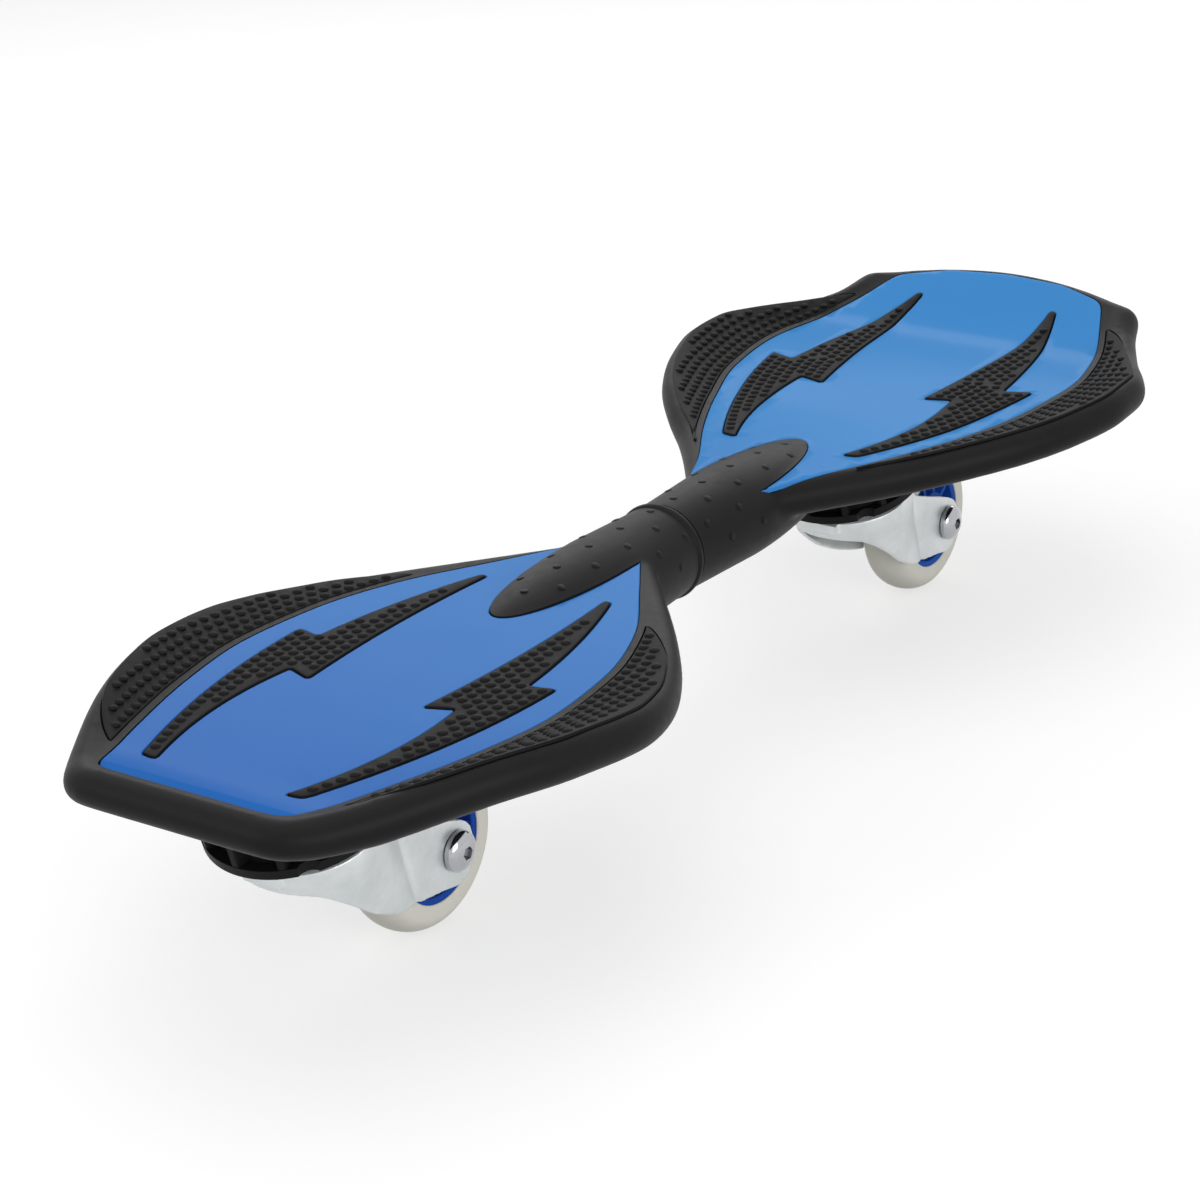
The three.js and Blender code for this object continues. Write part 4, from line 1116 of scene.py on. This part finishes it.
# %% [markdown]
# ## The caster mount
# Under each deck a ribbed wedge turns the level deck into a kingpin raked back by 15 degrees, which is what makes
# the board steer when it leans. Ribs stand round its core between a flange and a foot.

# %% Sizes of the mount
MOUNT_FLANGE = 4.0
FLANGE_CHAMFER = 1.2
MOUNT_FOOT = 4.0
MOUNT_RIBS = 12
MOUNT_RIB_WIDTH = 3.0
GROOVE_DEPTH = 5.0
RIB_FILLET = 1.8
THIN_SIDE_COSINE = 0.5
KINGPIN_RADIUS = 5.0
KINGPIN_HEAD = 9.0
KINGPIN_SEAT = 4.0
SCREW_RADIUS = 2.6
SCREW_HEAD = 4.6
SCREW_HEAD_RIM = 1.2
SCREW_HEAD_HEIGHT = 2.6
SCREW_LENGTH = 11.0
SCREW_POINT = 1.0
SCREW_SOCKET = 1.9
SCREW_SOCKET_DEPTH = 0.9
SPOT_FACE = 0.25
SPARE = 1.5
CORE_STEP = 0.2
TALL = 60.0
EDGE_BEVEL = 0.4
BEVEL_SHARP = math.radians(35)


def caster_frame(deck):
    """The frame of a caster: its Z is the kingpin's axis, its origin the foot of the mount."""
    return Matrix.Translation((deck.pivot_x, 0, PIVOT_Z)) @ Matrix.Rotation(-PIVOT_TILT, 4, "Y")


def bevelled(made, width=EDGE_BEVEL):
    """A small live bevel on the sharp corners."""
    bevel = made.modifiers.new("edges", "BEVEL")
    bevel.width, bevel.segments, bevel.limit_method, bevel.angle_limit = width * MM, 2, "ANGLE", BEVEL_SHARP
    return made


# %% The mounts and their screws
def mount_plan():
    """The ribbed section of the mount's core."""
    pitch = 2 * math.pi / MOUNT_RIBS
    line = []
    for a in steps(0, 2 * math.pi, 360)[:-1]:
        groove = (math.floor(a / pitch) + 0.5) * pitch
        off = abs(a - round(a / pitch) * pitch) * BARREL_RADIUS - MOUNT_RIB_WIDTH / 2
        share = min(max(1 - off / RIB_FILLET, 0), 1)
        ease = share * share * (3 - 2 * share)
        depth = 0 if math.cos(groove) > THIN_SIDE_COSINE else GROOVE_DEPTH * (1 - ease)
        reach = BARREL_RADIUS - CORE_STEP - depth
        line.append((reach * math.cos(a), reach * math.sin(a)))
    return line


def mount_form():
    """The wedge between deck and caster, made once for a kingpin at x = 0."""
    at = Matrix.Translation((0, 0, PIVOT_Z)) @ Matrix.Rotation(-PIVOT_TILT, 4, "Y")
    made = piece_from(prism(mount_plan(), -SPARE, TALL), "mount_form", at)
    cut(made, [tool(disc(BARREL_RADIUS, -SPARE, MOUNT_FOOT, sides=96), at)], "UNION")
    low, high = MOUNT_TOP_Z - MOUNT_FLANGE, MOUNT_TOP_Z + SPARE
    rim = [(MOUNT_RADIUS - FLANGE_CHAMFER, low), (MOUNT_RADIUS, low + FLANGE_CHAMFER), (MOUNT_RADIUS, high)]
    cut(made, [tool(turned([(0, low), *rim, (0, high)], 96, loop=False))], "UNION")
    holes = [
        tool(block((-TALL, -TALL, MOUNT_TOP_Z), (TALL, TALL, MOUNT_TOP_Z + TALL))),
        tool(block((-TALL, -TALL, -TALL), (TALL, TALL, 0)), at),
        tool(disc(KINGPIN_RADIUS + SEAM_GAP, -TALL, TALL), at),
        tool(disc(KINGPIN_HEAD + SEAM_GAP, KINGPIN_SEAT - SEAM_GAP, TALL), at),
    ]
    for x, y in screw_places(front):
        spot = (x - front.pivot_x, y)
        holes.append(tool(disc(SCREW_RADIUS + SEAM_GAP, 0, FOOT_Z, spot, 24)))
        holes.append(tool(disc(SCREW_HEAD + SEAM_GAP, 0, low + SPOT_FACE, spot, 32)))
    return cut(made, holes)


def screw_places(deck):
    """Where the CAD model has its four screws."""
    boxes = [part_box(f"{deck.label}_mount_screw_{i}") for i in (1, 2, 3, 4)]
    return [((low[0] + high[0]) / 2 / MM, (low[1] + high[1]) / 2 / MM) for low, high in boxes]


def screw(deck, number, x, y):
    """A pan head screw with a hexagon socket."""
    bulge = SCREW_HEAD_HEIGHT - SCREW_HEAD_RIM
    dome = [(SCREW_HEAD * math.cos(a), -SCREW_HEAD_RIM - bulge * math.sin(a)) for a in steps(math.pi / 2, 0, 6)]
    shank = [
        (SCREW_HEAD, 0), (SCREW_RADIUS, 0), (SCREW_RADIUS, SCREW_LENGTH - SCREW_POINT),
        (SCREW_RADIUS - SCREW_POINT, SCREW_LENGTH), (0, SCREW_LENGTH),
    ]
    bm = turned([*dome, *shank], 32, loop=False)
    at = Matrix.Translation((x, y, MOUNT_TOP_Z - MOUNT_FLANGE - SEAM_GAP))
    made = piece_from(bm, f"{deck.label}_screw_{number}", at)
    floor_z = SCREW_SOCKET_DEPTH - SCREW_HEAD_HEIGHT
    cut(made, [tool(disc(SCREW_SOCKET, -SCREW_HEAD_HEIGHT - 1, floor_z, sides=6), at)])
    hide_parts(f"{deck.label}_mount_screw_{number}")
    return dressed(made, "steel", f"{deck.label}_board")


form = mount_form()
for deck in DECKS:
    made = copied(form, f"{deck.label}_mount_wedge", Matrix.Translation((deck.pivot_x, 0, 0)))
    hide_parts(f"{deck.label}_caster_mount")
    bevelled(dressed(made, "mount", f"{deck.label}_board"))
    for number, (x, y) in enumerate(screw_places(deck), 1):
        screw(deck, number, x, y)
bpy.data.meshes.remove(form.data)
print("mounts and screws are in place")

# %% [markdown]
# ## The fork
# The fork is pressed from 3 mm sheet: a crown round the kingpin, a drum that narrows downwards, a crease on each
# side where the drum ends, and flat legs back to round ears. Its outside and its inside are lofted from the same
# plan rule, cut to the side outline, and then fused and softened like the deck, as pressed edges are.

# %% Sizes of the fork
FORK_SHEET = 3.0
FORK_TOP = -7.2
PLATE_BOTTOM = FORK_TOP - FORK_SHEET
FORK_HALF_WIDTH = 19.5
CROWN_RADIUS = 31.0
DRUM_DEPTH = 42.0
DRUM_TAPER = 6.5
DRUM_FRONT = 27.0
DRUM_FRONT_TAPER = 6.0
CREASE_X = 29.0
CREASE_DEPTH = 1.6
FORK_BACK = 90.0
EAR_RADIUS = 12.5
EAR_SAG = 2.6
LIP_REACH = 28.5
LIP_ROOT = 20.0
LIP_HALF_WIDTH = 9.0
LIP_DROP = 6.0
TRAIL = AXLE_BEHIND * math.cos(PIVOT_TILT) + (WHEEL_RADIUS - PIVOT_Z) * math.sin(PIVOT_TILT)
DROP = (WHEEL_RADIUS - PIVOT_Z) * math.cos(PIVOT_TILT) - AXLE_BEHIND * math.sin(PIVOT_TILT)
FORK_VOXEL = 0.75 * MM
FORK_SOFTENING = 3
FORK_SHARP = math.radians(60)
AXLE_RADIUS = 3.9
ONTO_Y = Matrix.Rotation(-math.pi / 2, 4, "X")
UPRIGHT = Matrix.Rotation(math.pi / 2, 4, "X")


# %% The fork's plan at a height, and its side outline
def fork_plan(z, inset, back):
    """From one leg round the drum to the other leg."""
    depth = min(max((FORK_TOP - z) / DRUM_DEPTH, 0), 1)
    ease = depth * depth * (3 - 2 * depth)
    wide = CROWN_RADIUS - DRUM_TAPER * ease
    ahead = DRUM_FRONT - DRUM_FRONT_TAPER * ease
    turn = math.asin((FORK_HALF_WIDTH - CREASE_DEPTH) / wide)
    behind = CREASE_X / math.cos(turn)
    drum = []
    for a in steps(turn, 2 * math.pi - turn, 84):
        reach = behind if math.cos(a) > 0 else ahead
        drum.append((reach * math.cos(a), wide * math.sin(a)))
    leg = [(x, FORK_HALF_WIDTH) for x in steps(back, CREASE_X + CREASE_DEPTH, 14)]
    line = leg + drum + [(x, -y) for x, y in reversed(leg)]
    return [(x - n.x * inset, y - n.y * inset) for (x, y), n in zip(line, outward(line))]


def fork_can(inset, top, back):
    """The fork's outer or inner body as a solid, before it is cut to the side outline."""
    heights = steps(top, DROP - 2 * EAR_RADIUS, 30)
    levels = [fork_plan(z, inset, back) for z in heights]
    count = len(levels[0])
    return closed(skin(count, len(heights) - 1, lambda i, j: Vector((*levels[j][i % count], heights[j]))))


def fork_side():
    """Side outline of the fork as (x, z)."""
    upper = [(31, FORK_TOP + 4), (31, PLATE_BOTTOM - 3), (29.5, -24.6), (43.7, -34.6), (54.5, -41.7)]
    ear = [
        (TRAIL + EAR_RADIUS * math.cos(a), DROP + (EAR_RADIUS - EAR_SAG * min(a, 0)) * math.sin(a))
        for a in steps(math.radians(58), math.radians(-100), 24)
    ]
    lower = [(42, -69.3), (30, -64.5), (22, -61), (12.5, -54.8), (0.6, -44.5), (-9.1, -32), (-19.3, -20), (-40, -13)]
    line = upper + ear + lower + [(-40, FORK_TOP + 4)]
    return rounded(spaced(line, 2.0), 3)


# %% The fork
def fork_form():
    """The pressing in the caster's frame: a can cut to the side outline and a turned lip, fused."""
    made = piece_from(fork_can(0, FORK_TOP, FORK_BACK), "fork_form")
    cut(made, [tool(prism(fork_side(), -TALL, TALL), UPRIGHT)], "INTERSECT")
    cut(made, [tool(fork_can(FORK_SHEET, PLATE_BOTTOM, 2 * FORK_BACK))])
    lip = block((-LIP_REACH, -LIP_HALF_WIDTH, PLATE_BOTTOM), (-LIP_ROOT, LIP_HALF_WIDTH, FORK_TOP))
    turn = block(
        (-LIP_REACH, -LIP_HALF_WIDTH, FORK_TOP - LIP_DROP), (FORK_SHEET - LIP_REACH, LIP_HALF_WIDTH, FORK_TOP),
    )
    joined(made, [tool(lip), tool(turn)])
    softened(made, FORK_VOXEL, FORK_SOFTENING)
    pin = disc(KINGPIN_RADIUS + SEAM_GAP, -TALL, TALL)
    axle = disc(AXLE_RADIUS + SEAM_GAP, -TALL, TALL)
    return cut(made, [tool(pin), tool(axle, Matrix.Translation((TRAIL, 0, DROP)) @ ONTO_Y)])


form = fork_form()
for deck in DECKS:
    made = copied(form, f"{deck.label}_fork_pressing", caster_frame(deck))
    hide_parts(f"{deck.label}_fork")
    dressed(made, "zinc", f"{deck.label}_swivel", FORK_SHARP)
    print(made.name, "has", len(made.data.polygons), "faces")
bpy.data.meshes.remove(form.data)

# %% [markdown]
# ## Kingpin bearing and nuts
# A race, a ring of real balls in a cage and a nut: turned profiles carried round by spin, and hexagons whose
# corners are turned off by keeping only what lies inside a chamfered disc.

# %% Race, balls and nut of the kingpin
RACE_RADIUS = 27.0
RACE_BOTTOM = -2.8
RACE_ROLL = 1.25
TRACK_DEPTH = 0.5
TRACK_EDGES = (18.6, 19.2, 22.8, 23.4)
BALL_RING_RADIUS = 21.0
BALL_RADIUS = 1.9
BALLS = 22
CAGE_REACH = 1.5
CAGE_HALF = 0.5
KING_NUT_RADIUS = 8.0
KING_NUT_HEIGHT = 6.5
NUT_CHAMFER = 0.9
AXLE_NUT_RADIUS = 7.0
AXLE_NUT_HEIGHT = 6.0


def tube_profile(inner, outer, low, high, chamfer=0.4):
    """The section of a ring with its corners turned off."""
    return [
        (inner, low + chamfer), (inner + chamfer, low), (outer - chamfer, low), (outer, low + chamfer),
        (outer, high - chamfer), (outer - chamfer, high), (inner + chamfer, high), (inner, high - chamfer),
    ]


def nut(name, radius, bore, low, high, at):
    """A hexagon nut with turned corners."""
    made = piece_from(disc(radius, low, high, sides=6), name, at)
    cone = [(0, low), (radius - NUT_CHAMFER, low), (radius, low + 0.5), (radius, high - 0.5)]
    cone += [(radius - NUT_CHAMFER, high), (0, high)]
    cut(made, [tool(turned(cone, 48, loop=False), at)], "INTERSECT")
    return cut(made, [tool(turned(tube_profile(0, bore, low - 1, high + 1, 0)[1:7], 32, loop=False), at)])


def ball_ring(deck):
    """The balls under the race, in their cage."""
    middle = RACE_BOTTOM - SEAM_GAP - BALL_RADIUS
    inner, outer = BALL_RING_RADIUS - CAGE_REACH, BALL_RING_RADIUS + CAGE_REACH
    bm = turned(tube_profile(inner, outer, middle - CAGE_HALF, middle + CAGE_HALF, 0.2), 96)
    for a in steps(0, 2 * math.pi, BALLS)[:-1]:
        spot = Matrix.Translation((BALL_RING_RADIUS * math.cos(a), BALL_RING_RADIUS * math.sin(a), middle))
        bmesh.ops.create_uvsphere(bm, u_segments=16, v_segments=10, radius=BALL_RADIUS, matrix=spot)
    made = piece_from(bm, f"{deck.label}_ball_cage", caster_frame(deck))
    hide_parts(f"{deck.label}_ball_ring")
    return dressed(made, "steel", f"{deck.label}_swivel")


def top_race(deck):
    """The pressed race, with a rolled edge."""
    bore = KINGPIN_RADIUS + SEAM_GAP
    track = [RACE_BOTTOM, RACE_BOTTOM + TRACK_DEPTH, RACE_BOTTOM + TRACK_DEPTH, RACE_BOTTOM]
    line = [(bore, RACE_BOTTOM), *zip(TRACK_EDGES, track)]
    line += [
        (RACE_RADIUS - RACE_ROLL + RACE_ROLL * math.cos(a), RACE_BOTTOM + RACE_ROLL + RACE_ROLL * math.sin(a))
        for a in steps(-math.pi / 2, math.pi / 2, 8)
    ]
    made = piece_from(turned([*line, (bore, -SEAM_GAP)], 96), f"{deck.label}_race", caster_frame(deck))
    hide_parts(f"{deck.label}_top_race")
    return dressed(made, "zinc", f"{deck.label}_board")


for deck in DECKS:
    ball_ring(deck)
    top_race(deck)
    high = PLATE_BOTTOM - SEAM_GAP
    bore = KINGPIN_RADIUS + SEAM_GAP
    made = nut(f"{deck.label}_king_nut", KING_NUT_RADIUS, bore, high - KING_NUT_HEIGHT, high, caster_frame(deck))
    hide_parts(f"{deck.label}_kingpin_nut")
    dressed(made, "zinc", frame_body(f"{deck.label}_kingpin_nut"))

# %% [markdown]
# ## The wheels
# An ivory urethane tyre on a blue hub with thin spokes, two bearings with shields, and a bolt with a domed chrome
# head through the fork's ears.

# %% Sizes of the wheel
TREAD_HALF = 12.0
TREAD_INNER = 26.5
TREAD_LIP = 24.9
TREAD_ROUND = 8.0
HUB_HALF = 11.0
HUB_RIM = 4.0
HUB_BOSS = 14.0
HUB_BORE = 8.0
WEB_HALF = 3.0
SPOKES = 10
SPOKE_HALF = 1.1
SPOKE_INSET = 1.6
WEB_HOLES = 5
WEB_HOLE_RADIUS = 3.6
BEARING_RADIUS = 11.0
BEARING_WIDTH = 7.0
BEARING_PLACE = HUB_HALF - BEARING_WIDTH / 2
SHIELD_EDGES = (6.0, 6.2, 9.2, 9.4)
SHIELD_DEPTH = 0.5
LEG_OUTSIDE = FORK_HALF_WIDTH + SEAM_GAP
AXLE_PROUD = 7.0
HEAD_RADIUS = 8.8
HEAD_RIM = 2.0
HEAD_DOME = 4.0
SOCKET_RADIUS = 3.0
SOCKET_DEPTH = 3.0


def wheel_frame(deck):
    """The frame of a wheel, level, with its origin in the wheel's centre."""
    return caster_frame(deck) @ Matrix.Translation((TRAIL, 0, DROP)) @ Matrix.Rotation(PIVOT_TILT, 4, "Y")


# %% Tyre and hub
def tyre(deck):
    """A urethane tyre with a crowned tread and a small step at the hub."""
    crown = [
        (WHEEL_RADIUS - TREAD_ROUND + TREAD_ROUND * math.cos(a), TREAD_HALF * math.sin(a))
        for a in steps(-math.pi / 2, math.pi / 2, 32)
    ]
    inner = [
        (TREAD_LIP + 0.5, TREAD_HALF), (TREAD_LIP, TREAD_HALF - 0.4), (TREAD_LIP, HUB_HALF + 0.1),
        (TREAD_INNER, HUB_HALF + 0.1),
    ]
    back = [(r, -z) for r, z in reversed(inner)]
    made = piece_from(turned([*crown, *inner, *back], 128), f"{deck.label}_tread", wheel_frame(deck) @ ONTO_Y)
    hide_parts(f"{deck.label}_tyre")
    return dressed(made, "tread", f"{deck.label}_wheel")


def hub_form():
    """A moulded hub about Z: boss, web and rim, bored and drilled, and then its thin spokes."""
    rim = TREAD_INNER - SEAM_GAP
    inner = rim - HUB_RIM
    half = [
        (HUB_BORE, -HUB_HALF), (HUB_BOSS - 0.5, -HUB_HALF), (HUB_BOSS, 0.5 - HUB_HALF), (HUB_BOSS, -WEB_HALF),
        (inner, -WEB_HALF), (inner, 0.5 - HUB_HALF), (inner + 0.5, -HUB_HALF), (rim - 0.5, -HUB_HALF),
        (rim, 0.5 - HUB_HALF),
    ]
    profile = half + [(r, -z) for r, z in reversed(half)]
    made = piece_from(turned(profile, 96), "hub_form")
    seat = BEARING_PLACE - BEARING_WIDTH / 2 - SEAM_GAP
    holes = [tool(disc(BEARING_RADIUS + SEAM_GAP, seat, TALL)), tool(disc(BEARING_RADIUS + SEAM_GAP, -TALL, -seat))]
    middle = (HUB_BOSS + inner) / 2
    first = math.pi / SPOKES
    for a in steps(first, first + 2 * math.pi, WEB_HOLES)[:-1]:
        holes.append(tool(disc(WEB_HOLE_RADIUS, -TALL, TALL, (middle * math.cos(a), middle * math.sin(a)), 24)))
    cut(made, holes)
    reach = HUB_HALF - SPOKE_INSET
    bars = []
    for a in steps(0, 2 * math.pi, SPOKES)[:-1]:
        bar = block((HUB_BOSS - 1, -SPOKE_HALF, -reach), (inner + 1, SPOKE_HALF, reach))
        bars.append(tool(bar, Matrix.Rotation(a, 4, "Z")))
    return joined(made, bars)


form = hub_form()
for deck in DECKS:
    made = copied(form, f"{deck.label}_hub_moulding", wheel_frame(deck) @ ONTO_Y)
    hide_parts(f"{deck.label}_hub")
    dressed(made, "hub", f"{deck.label}_wheel")
bpy.data.meshes.remove(form.data)
print("hubs have", len(made.data.polygons), "faces each")


# %% Bearings, axle bolt and nut
def bearing(deck, side, mirror):
    """A shielded ball bearing."""
    half = BEARING_WIDTH / 2
    bore = AXLE_RADIUS + SEAM_GAP
    shield = zip(SHIELD_EDGES, (half, half - SHIELD_DEPTH, half - SHIELD_DEPTH, half))
    front_face = [
        (bore, half - 0.3), (bore + 0.3, half), *shield, (BEARING_RADIUS - 0.4, half), (BEARING_RADIUS, half - 0.4),
    ]
    bm = turned(front_face + [(r, -z) for r, z in reversed(front_face)], 64)
    at = wheel_frame(deck) @ Matrix.Translation((0, mirror * BEARING_PLACE, 0)) @ ONTO_Y
    made = piece_from(bm, f"{deck.label}_ball_bearing_{side}", at)
    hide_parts(f"{deck.label}_bearing_{side}")
    return dressed(made, "steel", frame_body(f"{deck.label}_bearing_{side}"))


def axle_bolt(deck):
    """The axle with its domed head and hexagon socket."""
    base = LEG_OUTSIDE + HEAD_RIM
    dome = [(HEAD_RADIUS * math.cos(a), base + HEAD_DOME * math.sin(a)) for a in steps(0, math.pi / 2, 18)]
    low = -LEG_OUTSIDE - AXLE_PROUD
    shank = [(0, low), (AXLE_RADIUS - 0.8, low), (AXLE_RADIUS, low + 0.8), (AXLE_RADIUS, LEG_OUTSIDE)]
    head = [(HEAD_RADIUS - 0.5, LEG_OUTSIDE), (HEAD_RADIUS, LEG_OUTSIDE + 0.5)]
    at = wheel_frame(deck) @ UPRIGHT
    bm = turned([*shank, *head, *dome], 96, loop=False)
    made = piece_from(bm, f"{deck.label}_axle_screw", at)
    top = base + HEAD_DOME
    cut(made, [tool(disc(SOCKET_RADIUS, top - SOCKET_DEPTH, top + 1, sides=6), at)])
    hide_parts(f"{deck.label}_axle_bolt")
    return dressed(made, "chrome", frame_body(f"{deck.label}_axle_bolt"))


for deck in DECKS:
    tyre(deck)
    axle_bolt(deck)
    for side, mirror in SIDES:
        bearing(deck, side, mirror)
    at = wheel_frame(deck) @ ONTO_Y
    bore = AXLE_RADIUS + SEAM_GAP
    made = nut(f"{deck.label}_lock_nut", AXLE_NUT_RADIUS, bore, LEG_OUTSIDE, LEG_OUTSIDE + AXLE_NUT_HEIGHT, at)
    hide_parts(f"{deck.label}_axle_nut")
    dressed(made, "zinc", frame_body(f"{deck.label}_axle_nut"))
print("casters and wheels are in place")

# %% [markdown]
# ## Parts kept from the CAD model
# The turned parts inside the neck and on the axle are right as they are. Their mesh is left alone. A weld and a
# small bevel modifier turn their sharp corners, and each gets the finish of its slot.

# %% Kept parts
KEPT_WELD = 0.01 * MM
KEPT_BEVEL = 0.3
KEPT = {
    "zinc": ["front_washer_left", "front_washer_right", "rear_washer_left", "rear_washer_right"],
    "steel": [
        "front_kingpin", "rear_kingpin", "front_spacer", "rear_spacer", "pivot_tube", "front_bar_anchor",
        "rear_bar_anchor", "torsion_bar",
    ],
    "bush": ["front_neck_bush_near", "front_neck_bush_far", "rear_neck_sleeve_near", "rear_neck_sleeve_far"],
}
for slot, names in KEPT.items():
    for name in names:
        kept = frame["nodes"][name]
        weld = kept.modifiers.new("weld", "WELD")
        weld.merge_threshold = KEPT_WELD
        bevelled(kept, KEPT_BEVEL)
        for place in kept.material_slots:
            place.material = FINISH[slot]
print("kept", sum(len(names) for names in KEPT.values()), "CAD parts")

# %% [markdown]
# ## Camera, floor and light
# The camera stands where the photograph was taken from, solved from symmetric points of the decks. Large soft
# lights and a white surround give the long soft reflections of a studio shot.

# %% The camera
CAMERA_PLACE = Vector((-1017.5, -677, 572)) * MM
CAMERA_YAW = math.radians(34.2)
CAMERA_PITCH = math.radians(22.1)
CAMERA_ROLL = math.radians(-2.31)
LENS_MM = 87.5
SHIFT = (-0.041, -0.0054)


def camera():
    """A long lens at the photograph's angle."""
    ahead = Vector((
        math.cos(CAMERA_YAW) * math.cos(CAMERA_PITCH), math.sin(CAMERA_YAW) * math.cos(CAMERA_PITCH),
        -math.sin(CAMERA_PITCH),
    ))
    right = ahead.cross(Vector((0, 0, 1))).normalized()
    up = right.cross(ahead)
    rolled = (
        right * math.cos(CAMERA_ROLL) + up * math.sin(CAMERA_ROLL),
        up * math.cos(CAMERA_ROLL) - right * math.sin(CAMERA_ROLL),
    )
    made = bpy.data.objects.new("camera", bpy.data.cameras.new("camera"))
    scene.collection.objects.link(made)
    made.matrix_world = Matrix.Translation(CAMERA_PLACE) @ Matrix((*rolled, -ahead)).transposed().to_4x4()
    made.data.lens = LENS_MM
    made.data.shift_x, made.data.shift_y = SHIFT
    scene.camera = made
    return made


camera()

# %% The floor
FLOOR_HALF = 12.0


def seen_rays(tree):
    """1 for rays that show a thing to the camera: straight, mirrored or through glass."""
    path = tree.nodes.new("ShaderNodeLightPath")
    kinds = [Signal(tree, path.outputs[f"Is {kind} Ray"]) for kind in ("Camera", "Glossy", "Transmission")]
    return (kinds[0] + kinds[1] + kinds[2]).between(0, 1)


def floor():
    """A plain pale floor."""
    bm = bmesh.new()
    bmesh.ops.create_grid(bm, x_segments=2, y_segments=2, size=FLOOR_HALF / MM)
    made = piece_from(bm, "floor")
    look = Finish("pale_floor")
    seen = seen_rays(look.tree)
    tone = look.blend(look.noise(60, 3.0), (0.44, 0.44, 0.44), (0.46, 0.46, 0.46))
    glow = look.blend(seen, (0, 0, 0), (0.62, 0.62, 0.62))
    look.shade(Base_Color=tone, Roughness=0.9, Specular_IOR_Level=0.0, Emission_Color=glow, Emission_Strength=1.0)
    made.data.materials.append(look.material)
    return made


floor()

# %% The world and the lights
AMBIENT = 0.55
LIGHTS = [
    ("overhead", (-0.1, 0.1, 1.5), (0, 0, 0.1), 1.8, 1.3, 6.0),
    ("behind", (1.5, 0.9, 0.95), (0.1, 0, 0.1), 1.9, 0.35, 6.5),
    ("front_left", (-1.5, 0.7, 0.9), (-0.2, 0, 0.1), 0.9, 0.9, 4.5),
    ("front_right", (-0.6, -1.5, 0.5), (-0.1, 0, 0.06), 1.0, 0.7, 9.0),
]


def world():
    """White where it is seen, softer where it lights."""
    made = bpy.data.worlds.new("studio")
    made.use_nodes = True
    scene.world = made
    tree = made.node_tree
    ground = tree.nodes["Background"]
    ground.inputs["Color"].default_value = (1, 1, 1, 1)
    feed(tree, ground.inputs["Strength"], seen_rays(tree) * (1 - AMBIENT) + AMBIENT)
    return made


def area_light(name, place, goal, wide, high, power):
    """A soft rectangular light turned towards a point."""
    data = bpy.data.lights.new(name, "AREA")
    data.shape, data.size, data.size_y, data.energy = "RECTANGLE", wide, high, power
    made = bpy.data.objects.new(name, data)
    scene.collection.objects.link(made)
    made.location = place
    made.rotation_euler = (Vector(goal) - Vector(place)).to_track_quat("-Z", "Y").to_euler()
    return made


world()
for light in LIGHTS:
    area_light(*light)
scene.view_settings.view_transform = "Standard"
